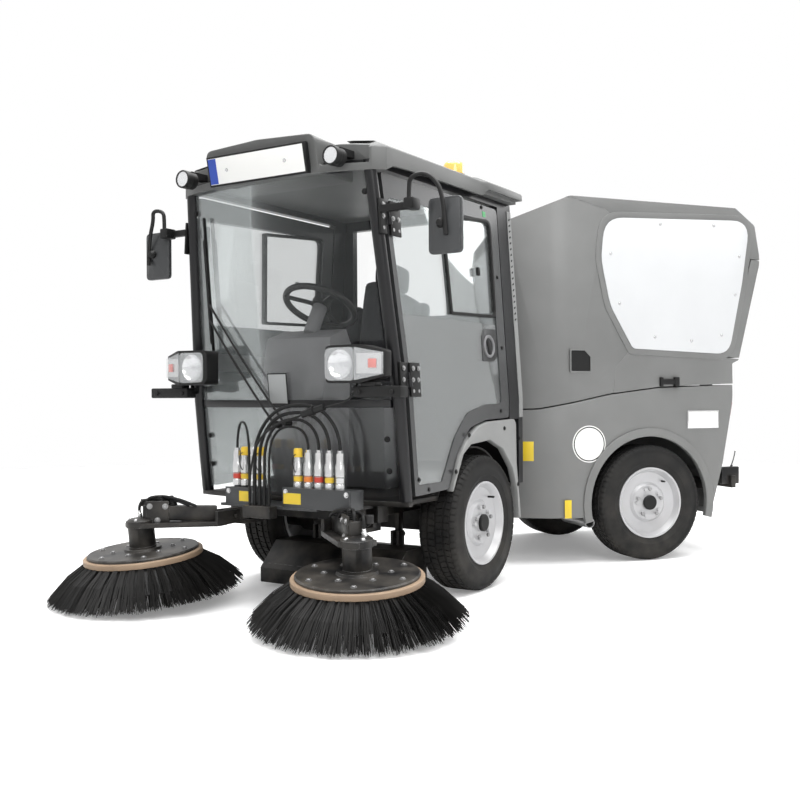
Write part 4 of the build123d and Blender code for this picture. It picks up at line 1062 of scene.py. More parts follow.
def roofPiece():
    s = roofSizes
    work = bmesh.new()
    base = roofRim(0)
    wall = roofRim(s["skirtWall"])
    rings = [[(p.x, p.y, s["cabTop"]) for p in wall],
             [(p.x, p.y, skirtLow(b.x) + 0.004) for p, b in zip(wall, base)],
             [(p.x, p.y, skirtLow(p.x)) for p in base]]
    for z, inset in s["levels"]:
        rings.append([(p.x, p.y, z) for p in roofRim(inset)])
    loops = [[work.verts.new(frontPoint(*spot)) for spot in ring] for ring in rings]
    count = len(base)
    for low, high in zip(loops, loops[1:]):
        for index in range(count):
            after = (index + 1) % count
            work.faces.new((low[index], low[after], high[after], high[index]))
    work.faces.new(loops[-1])
    work.faces.new(list(reversed(loops[0])))
    bmesh.ops.recalc_face_normals(work, faces=work.faces[:])
    cap = meshPiece(work, "roofCap", "roofGrey")
    back, inner, outer, low = s["bay"]
    for side in (1, -1):
        tool = blockAt(frontPoint(back + 0.1, side * (inner + outer) / 2, low + 0.1),
                       (0.2, outer - inner, 0.2), "roofGrey", bevel=0.012)
        cutWith(cap, tool)
    # hood: a rounded section that slopes with the plate and runs back into the cap
    work = bmesh.new()
    half = s["hoodHalf"]
    shoulder, crown = s["hoodTop"]
    backX, backZ = s["hoodBack"]
    (footX, footZ), (headX, headZ) = s["plateFoot"], s["plateHead"]
    slope = (headX - footX) / (headZ - footZ)
    profile = roundedPoints(((-half, s["hoodLow"], 0.012), (half, s["hoodLow"], 0.012),
                             (half, shoulder, 0.042), (0, crown, 0.4), (-half, shoulder, 0.042)))
    front, back = [], []
    for p in profile:
        front.append(work.verts.new(frontPoint(footX + (p.y - footZ) * slope, p.x, p.y)))
        back.append(work.verts.new(frontPoint(backX, p.x, min(p.y, backZ))))
    work.faces.new(front)
    work.faces.new(list(reversed(back)))
    for index in range(len(profile)):
        after = (index + 1) % len(profile)
        work.faces.new((front[index], back[index], back[after], front[after]))
    bmesh.ops.recalc_face_normals(work, faces=work.faces[:])
    hood = meshPiece(work, "plateHood", "roofGrey")
    for obj in (cap, hood):
        bevelled(obj, s["round"], 3, 40)
    whole = joined([cap, hood], "roofShell", "front_unit", 32)
    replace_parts(whole, "roof")


roofPiece()
print("roof made")


# white panels, their rolled borders, and what is fixed on the rear body
rear = {
    "half": 0.600,
    # where the body's front corner slants: along it, and how far out the face is
    "faceRows": ((-0.030, 0.440), (-0.240, 0.560), (-0.360, 0.600)),
    "cornerNormal": (0.496, 0.868),
    "panel": ((-0.552, 1.880, 0.15), (-1.495, 1.906, 0.10), (-1.440, 1.550, 0.4), (-1.350, 1.141, 0.10),
              (-0.725, 1.168, 0.04), (-0.585, 1.400, 0.3), (-0.530, 1.650, 0.3)),
    "roll": ((-0.522, 1.912, 0.16), (-1.522, 1.938, 0.12), (-1.476, 1.560, 0.4), (-1.376, 1.106, 0.12),
             (-0.702, 1.136, 0.05), (-0.552, 1.392, 0.3), (-0.494, 1.655, 0.3)),
    "bolts": ((-0.588, 1.684), (-0.641, 1.414), (-0.864, 1.233), (-1.300, 1.250), (-1.390, 1.481),
              (-1.420, 1.700), (-1.10, 1.215), (-0.90, 1.860), (-1.25, 1.868)),
    # the vent's dark opening is a thin black sheet on the face: painted shade for its inside
    "vent": ((-0.347, 1.044, 0.006), (-0.347, 1.155, 0.006), (-0.428, 1.155, 0.004), (-0.462, 1.121, 0.004),
             (-0.462, 1.044, 0.006)),
    "ventRim": ((-0.339, 1.036, 0.008), (-0.339, 1.163, 0.008), (-0.432, 1.163, 0.006),
                (-0.470, 1.125, 0.006), (-0.470, 1.036, 0.008)),
    # how far each slab's inner and outer faces stand out from the body
    "panelOut": (0.0005, 0.0065),
    "rollOut": (-0.004, 0.0045),
    "ventShadeOut": (0.0002, 0.0012),
    "ventRimOut": (-0.002, 0.005),
    "flareOut": (-0.02, 0.010),
    "sign": (-0.454, 0.649, 0.100),
    "signLine": (0.006, 0.012),          # the black ring, in from the sign's edge
    "badge": (-1.176, 0.774, 0.206, 0.101),
    "badgeFrame": 0.016,
    "labels": ((-0.138, 0.612, 0.058, 0.105), (-0.343, 0.300, 0.070, 0.098)),
    "latch": (-0.955, 0.985),
    "latchBlocks": ((0.0, (0.105, 0.030, 0.024)), (-0.045, (0.030, 0.052, 0.030)),
                    (0.05, (0.020, 0.05, 0.02))),
    "flareRadii": (0.412, 0.366),
    "flareArc": (-14, 208),
    "flareSteps": 36,
    "axle": (-0.829, 0.318),
}


def bodyFace(x):
    # outer face of the rear body at a place along it
    rows = rear["faceRows"]
    for (startX, startY), (endX, endY) in zip(rows, rows[1:]):
        if x > endX:
            return startY + (x - startX) / (endX - startX) * (endY - startY)
    return rear["half"]


def flareOutline():
    # the band round the wheel arch
    s = rear
    centreX, centreZ = s["axle"]
    begin, sweep = s["flareArc"]
    outer, inner = [], []
    for step in range(s["flareSteps"] + 1):
        angle = math.radians(begin + sweep * step / s["flareSteps"])
        for radius, edge in zip(s["flareRadii"], (outer, inner)):
            edge.append((centreX + radius * math.cos(angle), centreZ + radius * math.sin(angle), 0))
    return outer + inner[::-1]


def rearPieces(side, panels, rolls, lower):
    s = rear
    outward = rearTurn.to_3x3() @ Vector((0, side, 0))

    def slab(rows, out, material, holes=(), bevel=0.0):
        return sidePlate(rows, s["half"] + out[0], s["half"] + out[1], material, rearPoint, side, holes,
                         bevel=bevel)

    def onFace(x, z, out):
        return rearPoint(x, side * (s["half"] + out), z)

    panels.append(slab(s["panel"], s["panelOut"], "panelWhite", bevel=0.002))
    for x, z in s["bolts"]:
        panels.append(boltAt(onFace(x, z, s["panelOut"][1]), outward, 0.0065, "steelBright"))
    rolls.append(slab(s["roll"], s["rollOut"], "bodyGrey", (s["panel"],), 0.004))
    # a thin black sheet just proud of the face: painted shade where the vent opens
    rolls.append(slab(s["vent"], s["ventShadeOut"], "rubberBlack"))
    rolls.append(slab(s["ventRim"], s["ventRimOut"], "bodyGrey", (s["vent"],), 0.0015))
    x, z, radius = s["sign"]
    middle = onFace(x, z, 0.0006)
    line, inner = (radius - inset for inset in s["signLine"])
    disc = [(radius, -0.002), (radius, 0.001), (0, 0.001)]
    ring = [(line, 0.0012), (line, 0.0016), (inner, 0.0016), (inner, 0.0012)]
    lower.append(turnedAt(middle, disc, "plateWhite", outward, 64))
    lower.append(turnedAt(middle, ring, "rubberBlack", outward, 64))
    x, z, wide, tall = s["badge"]
    frame = s["badgeFrame"]
    lower.append(blockAt(onFace(x, z, 0.003), (wide, tall, 0.006), "steelBright", outward, 0, 0.002))
    lower.append(blockAt(onFace(x, z, 0.0062), (wide - frame, tall - frame, 0.003), "plateWhite", outward, 0,
                         0.0012))
    for x, z, wide, tall in s["labels"]:
        ahead, aside = s["cornerNormal"] if x > s["faceRows"][1][0] else (0, 1)
        normal = rearTurn.to_3x3() @ Vector((ahead, side * aside, 0))
        lower.append(blockAt(rearPoint(x, side * (bodyFace(x) + 0.0012), z), (wide, tall, 0.0014),
                             "labelYellow", normal, 0, 0.0004))
    x, z = s["latch"]
    for along, size in s["latchBlocks"]:
        lower.append(blockAt(onFace(x + along, z, 0.004), size, "trimBlack", outward, 0, 0.004))
    lower.append(slab(flareOutline(), s["flareOut"], "bodyGrey", bevel=0.004))


panels, rolls, lower = [], [], []
for side in (1, -1):
    rearPieces(side, panels, rolls, lower)
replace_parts(joined(panels, "whitePanels", "hopper_tub"), "side_panels")
joined(rolls, "panelBorders", "hopper_tub")
joined(lower, "lowerBodyTrim", "rear_unit")
print("rear body dressed")


# brooms: wood ring, bolts and separate bristles in ragged tufts
broom = {
    "place": (1.982, 0.585, 0.2245),
    "tilt": 5.0,
    "lean": 2.0,
    "ring": 0.262,
    "strands": 3600,
    "tufts": 44,
    "tuftShare": 0.62,                   # how much of its pitch a tuft fills
    "root": (0.150, 0.104),              # innermost radius, and how far the roots spread
    "rootDepth": 0.020,
    "innerTip": 0.290,
    "tip": 0.436,
    "drop": 0.178,
    "thick": 0.0017,
    "core": ((0.10, -0.015), (0.235, -0.015), (0.345, -0.120), (0.30, -0.135), (0.12, -0.05), (0.10, -0.015)),
    "plate": 0.245,
    "bolts": 12,
    "boltRadii": (0.130, 0.205),
}


def broomAxis(side):
    tilt, lean = math.radians(broom["tilt"]), math.radians(broom["lean"])
    return Vector((math.sin(tilt), side * math.sin(lean), 1)).normalized()


def bristlePiece(side, word):
    s = broom
    whole = Matrix.Translation(sideSpot(s["place"], side)) @ turnTo(broomAxis(side))
    work = bmesh.new()
    numbers = []
    value = 12345 + 77 * (7 + side)
    for _ in range(s["strands"] * 5):
        value = (1103515245 * value + 12345) % 2147483648
        numbers.append(value / 2147483648)
    innermost, spreadOut = s["root"]
    for strand in range(s["strands"]):
        r1, r2, r3, r4, r5 = numbers[5 * strand:5 * strand + 5]
        tuft = strand % s["tufts"]
        angle = 2 * math.pi * (tuft + s["tuftShare"] * (r1 - 0.5)) / s["tufts"]
        depth = r2 ** 0.6
        rootRadius = innermost + depth * spreadOut
        tipRadius = s["innerTip"] + depth * (s["tip"] - s["innerTip"]) - 0.012 * r3
        tipAngle = angle + (r4 - 0.5) * 0.085
        tipZ = -s["drop"] + (0.022 * r5 if depth > 0.8 else 0.006 * r5)
        rows = []
        for t in (0.0, 0.45, 1.0):
            spread = t ** 0.85
            radius = rootRadius + (tipRadius - rootRadius) * spread
            turn = angle + (tipAngle - angle) * t
            height = -s["rootDepth"] + (tipZ + s["rootDepth"]) * (t ** 1.12)
            rows.append((Vector((radius * math.cos(turn), radius * math.sin(turn), height)), turn))
        rings = []
        for (spot, turn), width in zip(rows, (1.0, 1.0, 0.75)):
            across = Vector((-math.sin(turn), math.cos(turn), 0))
            upright = Vector((math.cos(turn) * 0.6, math.sin(turn) * 0.6, 0.8))
            ring = []
            for corner in range(3):
                about = corner * 2 * math.pi / 3
                shift = s["thick"] * width * (math.cos(about) * across + math.sin(about) * upright)
                ring.append(work.verts.new(whole @ (spot + shift)))
            rings.append(ring)
        for low, high in zip(rings, rings[1:]):
            for corner in range(3):
                after = (corner + 1) % 3
                work.faces.new((low[corner], low[after], high[after], high[corner]))
        work.faces.new(rings[-1])
    strands = meshPiece(work, "bristles", "bristleBlack")
    core = turnedAt((0, 0, 0), s["core"], "rubberBlack", steps=64)
    core.matrix_world = whole
    piece = joined([strands, core], f"bristleTufts_{word}", f"broom_{word}", 0)
    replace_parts(piece, f"bristles_{word}")
    ring, plate = s["ring"], s["plate"]
    wood = [(0.100, -0.026), (ring - 0.002, -0.026), (ring, -0.023), (ring, -0.004), (ring - 0.003, -0.001),
            (0.100, -0.001), (0.100, -0.026)]
    disc = [(0.0205, 0.000), (plate, 0.000), (plate, 0.008), (plate - 0.004, 0.012), (0.085, 0.012),
            (0.080, 0.022), (0.0205, 0.022), (0.0205, 0.000)]
    parts = [turnedAt((0, 0, 0), wood, "woodRing", steps=96),
             turnedAt((0, 0, 0), disc, "frameBlack", steps=96)]
    for number in range(s["bolts"]):
        angle = 2 * math.pi * (number + 0.3) / s["bolts"]
        radius = s["boltRadii"][number % 2]
        head = boltAt((0, 0, 0), (0, 0, 1), 0.009, "steelDull")
        head.matrix_world = Matrix.Translation((radius * math.cos(angle), radius * math.sin(angle), 0.0122))
        parts.append(head)
    for obj in parts:
        obj.matrix_world = whole @ obj.matrix_world
    done = joined(parts, f"broomPlate_{word}", f"broom_{word}")
    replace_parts(done, f"broom_disc_{word}")


def coilAlong(start, end, radius, turns, wire):
    run = end - start
    level = turnTo(run).to_3x3()
    points = []
    steps = int(turns * 14)
    for step in range(steps + 1):
        t = step / steps
        angle = 2 * math.pi * turns * t
        spot = Vector((radius * math.cos(angle), radius * math.sin(angle), run.length * t))
        points.append(start + level @ spot)
    return tubeAlong(points, wire, "trimBlack", False)


# broom arms: box beam, knee plates, motor, strut with its coil spring, ports with formed pipes, boots
arm = {
    "beamStart": (1.790, 0.360, 0.392),
    "beamEnd": (1.965, 0.560, 0.400),
    "beam": (0.054, 0.066, 0.06),        # wide, tall, and what it runs past its ends
    "knee": (1.940, 0.535, 0.398),
    "kneePlate": (0.100, 0.010, 0.110),
    "kneeHalf": 0.031,
    "kneeBolts": ((-0.034, 0.032), (0.034, 0.032), (0.0, -0.03)),
    "motor": ((0.060, 0.0), (0.060, 0.012), (0.052, 0.016), (0.052, 0.096), (0.064, 0.100), (0.064, 0.128),
              (0.050, 0.136), (0, 0.136)),
    "motorLift": 0.016,
    "capBolts": (4, 0.046, 0.150),       # how many, circle, height
    "strut": ((1.842, 0.462, 0.376), (1.944, 0.612, 0.440)),
    "rod": 0.016,
    "coil": (0.021, 10, 0.0065),         # radius, turns, wire
    "coilEnds": (0.18, 0.12),
    "eye": (0.020, 0.032),
    "ports": ((-0.022, 0.165), (0.022, 0.150)),   # sideways, height over the broom
    "fitting": ((0.011, -0.01), (0.011, 0.020), (0.008, 0.024), (0.008, 0.034), (0, 0.034)),
    "pipeBack": (1.866, 0.392, 0.428),
    "pipe": 0.013,
    "boots": ((0.62, 0.022), (0.80, 0.020)),      # place along the beam, radius
    "bootRings": 6,
    "bootTop": 0.047,
}


def armPieces(side, word):
    s = arm
    start, end = sideSpot(s["beamStart"], side), sideSpot(s["beamEnd"], side)
    run = (end - start).normalized()
    sideways = run.cross(Vector((0, 0, 1)))
    wide, tall, past = s["beam"]
    parts = [blockAt((start + end) / 2, (wide, tall, (end - start).length + past), "frameBlack",
                     end - start, 0, 0.006)]
    knee = sideSpot(s["knee"], side)
    for sign in (-1, 1):
        across = sideways * sign * s["kneeHalf"]
        parts.append(blockAt(knee + across, s["kneePlate"], "frameBlack", (0, 0, 1), math.atan2(run.y, run.x),
                             0.003))
        for along, up in s["kneeBolts"]:
            spot = knee + across * 1.18 + run * along + Vector((0, 0, up))
            parts.append(boltAt(spot, sideways * sign, 0.009, "steelDull"))
    axis = broomAxis(side)
    top = sideSpot(broom["place"], side)
    parts.append(turnedAt(top + axis * s["motorLift"], s["motor"], "frameBlack", axis, 40))
    count, circle, height = s["capBolts"]
    for number in range(count):
        angle = math.pi / 4 + number * 2 * math.pi / count
        spot = turnTo(axis).to_3x3() @ Vector((circle * math.cos(angle), circle * math.sin(angle), 0))
        parts.append(boltAt(top + axis * height + spot, axis, 0.008, "steelBright"))
    low, high = (sideSpot(place, side) for place in s["strut"])
    lowShare, highShare = s["coilEnds"]
    parts.append(tubeAlong([low, high], s["rod"], "steelBright", False))
    parts.append(coilAlong(low + (high - low) * lowShare, high - (high - low) * highShare, *s["coil"]))
    radius, tall = s["eye"]
    for spot in (low, high):
        parts.append(turnedAt(spot - Vector((0, 0, tall / 2)), [(radius, 0), (radius, tall), (0, tall)],
                              "frameBlack", (0, 0, 1), 24))
    backX, backY, backZ = s["pipeBack"]
    for shift, rise in s["ports"]:
        port = top + axis * rise + Vector((-0.02, side * shift, 0))
        parts.append(turnedAt(port, s["fitting"], "steelBright", axis, 12))
        back = frontPoint(backX, side * (backY + shift), backZ)
        route = [port + axis * 0.030, port + axis * 0.075,
                 port + axis * 0.085 + Vector((-0.05, -side * 0.04, 0)),
                 (port + back) / 2 + Vector((0, 0, 0.060)), back + Vector((0.03, side * 0.03, 0.022)), back]
        parts.append(tubeAlong(route, s["pipe"], "rubberBlack"))
    for share, radius in s["boots"]:
        rows = [(0, 0)]
        for ring in range(s["bootRings"]):
            rows.append((radius * (1 - 0.09 * ring), 0.008 * ring))
            rows.append((radius * (0.86 - 0.09 * ring), 0.008 * ring + 0.004))
        rows.append((0, s["bootTop"]))
        parts.append(turnedAt(start + (end - start) * share + Vector((0, 0, 0.034)), rows, "rubberBlack",
                              (0.3, 0, 1), 24))
    joined(parts, f"armTrim_{word}", f"arm_{word}")


for side, word in ((1, "left"), (-1, "right")):
    bristlePiece(side, word)
    armPieces(side, word)
print("brooms made")


# headlamps: tapered housing with a bowl, a clear cover and the side indicator
lamp = {
    "base": 0.560,
    "plan": ((1.848, -0.232, 0.018), (1.852, -0.072, 0.022), (1.812, 0.042, 0.026), (1.762, 0.052, 0.020),
             (1.742, -0.040, 0.060), (1.750, -0.232, 0.030)),
    "planReach": (0.95, 1.15),
    "front": ((-0.232, 0.972, 0.034), (-0.060, 0.970, 0.030), (0.052, 1.000, 0.026), (0.052, 1.100, 0.026),
              (-0.060, 1.127, 0.030), (-0.232, 1.126, 0.034)),
    "frontReach": (1.70, 1.90),
    "cover": ((-0.222, 0.982, 0.030), (-0.078, 0.980, 0.020), (-0.078, 1.117, 0.020), (-0.222, 1.116, 0.030)),
    "coverReach": (1.8525, 1.8565),
    "bowl": (1.8505, -0.150, 1.048),
    "bowlRadius": 0.058,
    "holeStart": (1.822, -0.150, 1.048),
    "holeDeep": 0.06,
    "bulb": ((0, -0.004), (0.008, -0.006), (0.011, -0.012), (0.008, -0.020), (0.006, -0.027)),
    "sideLens": ((1.8535, -0.076, 0.982), (1.8155, 0.040, 1.006), (1.8155, 0.040, 1.094),
                 (1.8535, -0.076, 1.116)),
    "lensThick": 0.004,
    "slant": (0.950, 0.311),
    "indicator": (((1.8335, -0.018, 1.050), (0.104, 0.082, 0.002), "steelBright", 0.0),
                  ((1.8335, -0.002, 1.050), (0.034, 0.036, 0.005), "lampPink", 0.001)),
    "brackets": (((1.800, 0.015, 0.935), (0.060, 0.230, 0.046), 0.006),
                 ((1.735, -0.003, 0.945), (0.120, 0.040, 0.030), 0.004),
                 ((1.800, -0.030, 0.966), (0.050, 0.070, 0.020), 0.004)),
    "bolts": ((1.830, -0.07, 0.935), (1.830, 0.09, 0.935)),
}


def lampPieces(side):
    s = lamp
    base = s["base"]
    radius = s["bowlRadius"]
    plan = [(x, base + y, r) for x, y, r in s["plan"]]
    front, cover = ([(base + y, z, r) for y, z, r in s[rows]] for rows in ("front", "cover"))
    housing = prism(plan, "z", s["planReach"], "trimBlack", side)
    cutWith(housing, prism(front, "x", s["frontReach"], "trimBlack", side), "INTERSECT")
    hole, deep = radius + 0.003, s["holeDeep"]
    tool = turnedAt(sideSpot(s["holeStart"], side, base), [(0, 0), (hole, 0), (hole, deep), (0, deep)],
                    "trimBlack", (1, 0, 0), 40)
    cutWith(housing, tool)
    bevelled(housing, 0.004)
    middle = sideSpot(s["bowl"], side, base)
    bowl = [(radius + 0.0025, 0.0), (radius, 0.0005), (0.048, -0.014), (0.030, -0.023), (0.012, -0.0265),
            (0, -0.027)]
    parts = [housing, turnedAt(middle, bowl, "lampMirror", (1, 0, 0), 40),
             turnedAt(middle, s["bulb"], "lampLens", (1, 0, 0), 20),
             bevelled(prism(cover, "x", s["coverReach"], "lampLens", side), 0.0015)]
    near, far = ([sideSpot((x + proud, y, z), side, base) for x, y, z in s["sideLens"]]
                 for proud in (0.0, s["lensThick"]))
    parts.append(bevelled(fourSided(near, far, "lampLens"), 0.0015))
    slant = (s["slant"][0], side * s["slant"][1], 0)
    for place, size, material, bevel in s["indicator"]:
        parts.append(blockAt(sideSpot(place, side, base), size, material, slant, 0, bevel))
    for place, size, bevel in s["brackets"]:
        parts.append(blockAt(sideSpot(place, side, base), size, "trimBlack", bevel=bevel))
    for place in s["bolts"]:
        parts.append(boltAt(sideSpot(place, side, base), (1, 0, 0), 0.009, "trimBlack"))
    return parts


mirror = {
    "x": 1.786,
    "root": 0.538,
    # left and right: the glass's middle and the block that carries the arm
    "middles": (0.849, 0.722),
    "blocks": (0.706, 0.640),
    "height": 1.586,
    "armHeight": 1.682,
    "rootX": 1.741,
    "blockX": 1.764,
    "tube": 0.018,
    "rim": (0.075, 0.111, 0.022),        # half width, half height, corner
    "rimReach": (-0.054, -0.034),
    # back of the shell: place behind the tube, half width, half height
    "back": ((-0.035, 0.069, 0.105), (-0.006, 0.012, 0.016)),
    "clamp": ((0, 0.020), (0.012, 0.016), (0.020, 0.004), (0.020, -0.006), (0.012, -0.018), (0, -0.020)),
    "clampHeight": 1.590,
    "glass": (0.136, 0.208, 0.002),
}


def mirrorPieces(side):
    s = mirror
    middle, block = s["middles"][side < 0], s["blocks"][side < 0]
    height, arm = s["height"], s["armHeight"]
    armEnd = block + 0.02
    parts = [blockAt(frontPoint(s["rootX"], side * (s["root"] + armEnd) / 2, arm),
                     (0.026, armEnd - s["root"], 0.030), "trimBlack", bevel=0.004),
             blockAt(frontPoint(s["blockX"], side * block, arm), (0.064, 0.044, 0.046), "trimBlack",
                     bevel=0.006)]
    route = ((block, arm), (block, 1.740), (block + 0.006, 1.785), (block + 0.075, 1.795),
             (middle - 0.01, 1.748), (middle + 0.012, 1.68), (middle + 0.020, 1.60), (middle + 0.024, 1.540))
    parts.append(tubeAlong([frontPoint(s["x"], side * y, z) for y, z in route], s["tube"], "trimBlack"))
    corners = ((-1, -1), (1, -1), (1, 1), (-1, 1))
    wide, tall, corner = s["rim"]
    rim = [(middle + dy * wide, height + dz * tall, corner) for dy, dz in corners]
    parts.append(bevelled(prism(rim, "x", [s["x"] + x for x in s["rimReach"]], "valveGrey", side), 0.004))
    near, far = ([frontPoint(s["x"] + x, side * (middle + dy * wide), height + dz * tall)
                  for dy, dz in corners] for x, wide, tall in s["back"])
    parts.append(bevelled(fourSided(near, far, "valveGrey"), 0.005))
    parts.append(turnedAt(frontPoint(s["x"] - 0.002, side * middle, s["clampHeight"]), s["clamp"],
                          "trimBlack", (1, 0, 0), 24))
    parts.append(blockAt(frontPoint(s["x"] - 0.0545, side * middle, height), s["glass"], "mirrorGlass",
                         (-1, 0, 0), 0, 0.0008))
    return parts


lamps, mirrors = [], []
for side in (1, -1):
    lamps += lampPieces(side)
    mirrors += mirrorPieces(side)
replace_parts(joined(lamps, "headlampPair", "front_unit"), "headlamps")
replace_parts(joined(mirrors, "mirrorPair", "front_unit"), "mirrors")
print("lamps and mirrors made")


# roof: blank number plate, work lights and the amber beacon
fittings = {
    "plateMiddle": (1.8655, 0, 1.9055),
    "plateNormal": (0.977, 0, -0.211),
    "plateProud": 0.021,
    # how far out, aside, size, colour, edge
    "plateSlabs": ((-0.0105, 0, (0.538, 0.130, 0.022), "rubberBlack", 0.003),
                   (0.0008, 0, (0.520, 0.112, 0.002), "plateWhite", 0.0008),
                   (0.0022, -0.237, (0.044, 0.108, 0.0012), "bandBlue", 0.0)),
    "plateBolts": (-0.16, 0.16),
    "light": (1.9002, 0.408, 1.888),
    "lightBody": ((0.0385, -0.030), (0.0400, -0.026), (0.0400, 0.002), (0.0385, 0.005), (0.0335, 0.005),
                  (0.0325, 0.001)),
    "lightBowl": ((0.0325, 0.0015), (0.024, 0.0008), (0.012, 0.0004), (0, 0.0004)),
    "lightLens": ((0.0332, 0.003), (0.020, 0.0065), (0, 0.0075)),
    "lightBolt": (1.83, 0.408, 1.926),
    "beacon": (0.700, 0.300, 1.9865),
    "beaconFoot": ((0.060, -0.004), (0.060, 0.040), (0.056, 0.052), (0.0, 0.053)),
    "beaconLens": ((0.0530, 0.052), (0.0520, 0.096), (0.047, 0.108), (0.034, 0.117), (0, 0.119)),
}


def roofTrimPieces():
    s = fittings
    parts = []
    normal = Vector(s["plateNormal"])
    middle = frontPoint(*s["plateMiddle"]) + normal * s["plateProud"]
    for out, aside, size, material, edge in s["plateSlabs"]:
        parts.append(blockAt(middle + normal * out + Vector((0, aside, 0)), size, material, normal, 0, edge))
    for aside in s["plateBolts"]:
        parts.append(boltAt(middle + normal * 0.0018 + Vector((0, aside, 0)), normal, 0.006, "steelBright"))
    for side in (1, -1):
        spot = sideSpot(s["light"], side)
        for rows, material in (("lightBody", "trimBlack"), ("lightBowl", "lampMirror"),
                               ("lightLens", "lampLens")):
            parts.append(turnedAt(spot, s[rows], material, (1, 0, 0), 40))
        parts.append(boltAt(sideSpot(s["lightBolt"], side), (0, 0, 1), 0.008, "steelBright"))
    for rows, material in (("beaconFoot", "trimBlack"), ("beaconLens", "beaconAmber")):
        parts.append(turnedAt(frontPoint(*s["beacon"]), s[rows], material, (0, 0, 1), 48))
    joined(parts, "roofTrim", "front_unit")


roofTrimPieces()

# wipers, badge place, windscreen bolts and the slotted rear pillar trims
screen = {
    "bladeLow": (-0.400, 1.060),
    "bladeHigh": (-0.392, 1.730),
    "bladeProud": 0.012,
    "arms": (((0.035, 0.800), (-0.392, 1.340)), ((-0.020, 0.792), (-0.398, 1.270))),
    "armProud": (0.034, 0.040, 0.022),   # at its foot, middle and head
    "armTube": 0.011,
    "armFoot": ((0.017, 0), (0.017, 0.026), (0.013, 0.040), (0, 0.042)),
    "badge": (-0.010, 0.951, 0.108, 0.138),
    "badgeNormal": (0.99, 0.0, -0.115),
    "bolts": ((0.500, 0.735), (-0.500, 0.735), (0.500, 0.60), (-0.500, 0.60), (0.47, 1.76), (-0.47, 1.76)),
    "trimX": (0.508, 0.548),
    "trimZ": (0.806, 1.852),
    "slots": 18,
    "slotLow": 1.300,
    "slotPitch": 0.030,
    "slot": ((-0.011, 0.001), (0.009, -0.009), (0.012, 0.001), (-0.008, 0.011)),
    "fenderBolts": ((0.575, 0.700), (0.590, 0.470), (1.225, 0.575), (0.74, 0.755), (1.10, 0.735)),
    "fenderFace": 0.5995,
    "hingePlate": (0.048, 0.145, 0.010),
}


def screenSpot(y, z, proud=0.0):
    return frontPoint(screenX(y, z, proud), y, z)


def wiperPieces():
    s = screen
    parts = []
    footProud, middleProud, headProud = s["armProud"]
    for (startY, startZ), (endY, endZ) in s["arms"]:
        start = screenSpot(startY, startZ, footProud)
        middle = screenSpot((startY + endY) / 2, (startZ + endZ) / 2, middleProud)
        parts.append(tubeAlong([start, middle, screenSpot(endY, endZ, headProud)], s["armTube"], "trimBlack"))
        parts.append(turnedAt(start - Vector((0.035, 0, 0)), s["armFoot"], "trimBlack", (1, 0, 0.1), 24))
    low, high = (screenSpot(*s[end], s["bladeProud"]) for end in ("bladeLow", "bladeHigh"))
    run = high - low
    parts.append(blockAt((low + high) / 2, (0.007, 0.018, run.length), "rubberBlack", run, 0, 0.002))
    parts.append(blockAt((low + high) / 2 + Vector((0.010, 0, 0)), (0.011, 0.010, run.length * 0.7),
                         "trimBlack", run, 0, 0.003))
    return parts


def screenPieces():
    s = screen
    y, z, wide, tall = s["badge"]
    normal = Vector(s["badgeNormal"])
    spot = screenSpot(y, z, 0.004)
    parts = [blockAt(spot, (wide, tall, 0.003), "rubberBlack", normal, 0, 0.001),
             blockAt(spot + normal * 0.0012, (wide - 0.010, tall - 0.010, 0.003), "liningGrey", normal, 0,
                     0.001)]
    for y, z in s["bolts"]:
        outward = (0.95, 0.3 if y > 0 else -0.3, -0.1)
        parts.append(boltAt(screenSpot(y, z, -0.003), outward, 0.009, "rubberBlack"))
    return parts


def pillarPieces(side):
    s = screen
    (lowX, highX), (lowZ, highZ) = s["trimX"], s["trimZ"]
    middleX = (lowX + highX) / 2
    holes = []
    for number in range(s["slots"]):
        z = s["slotLow"] + number * s["slotPitch"]
        holes.append([(middleX + dx, z + dz, 0.002) for dx, dz in s["slot"]])

    def strip(inset, corner, depths, material, holes=()):
        rows = ((lowX + inset, lowZ, corner), (highX - inset, lowZ, corner), (highX - inset, highZ, corner),
                (lowX + inset, highZ, corner))
        return sidePlate(rows, *depths, material, side=side, holes=holes, surface=cabSide, cut=cab["waist"])

    parts = [strip(0, 0.003, (-0.0035, -0.0003), "fenderGrey", holes),
             strip(0.004, 0, (-0.0012, 0.0002), "rubberBlack")]
    for x, z in s["fenderBolts"]:
        parts.append(boltAt(sideSpot((x, s["fenderFace"], z), side), (0, side, 0), 0.0075, "rubberBlack"))
    outward = (0, side, door["faceNormal"])
    for z in door["hinges"]:
        x, y = hingeSpot(z)
        parts.append(blockAt(frontPoint(x + 0.038, side * (y - 0.008), z), s["hingePlate"], "trimBlack",
                             outward, 0, 0.002))
        for row in door["hingeRows"]:
            spot = frontPoint(x + 0.040, side * (y - 0.0025), z + row)
            parts.append(boltAt(spot, outward, 0.0075, "steelDull"))
    return parts


joined(wiperPieces() + screenPieces() + pillarPieces(1) + pillarPieces(-1), "cabTrim", "front_unit")
print("roof and cab trim made")


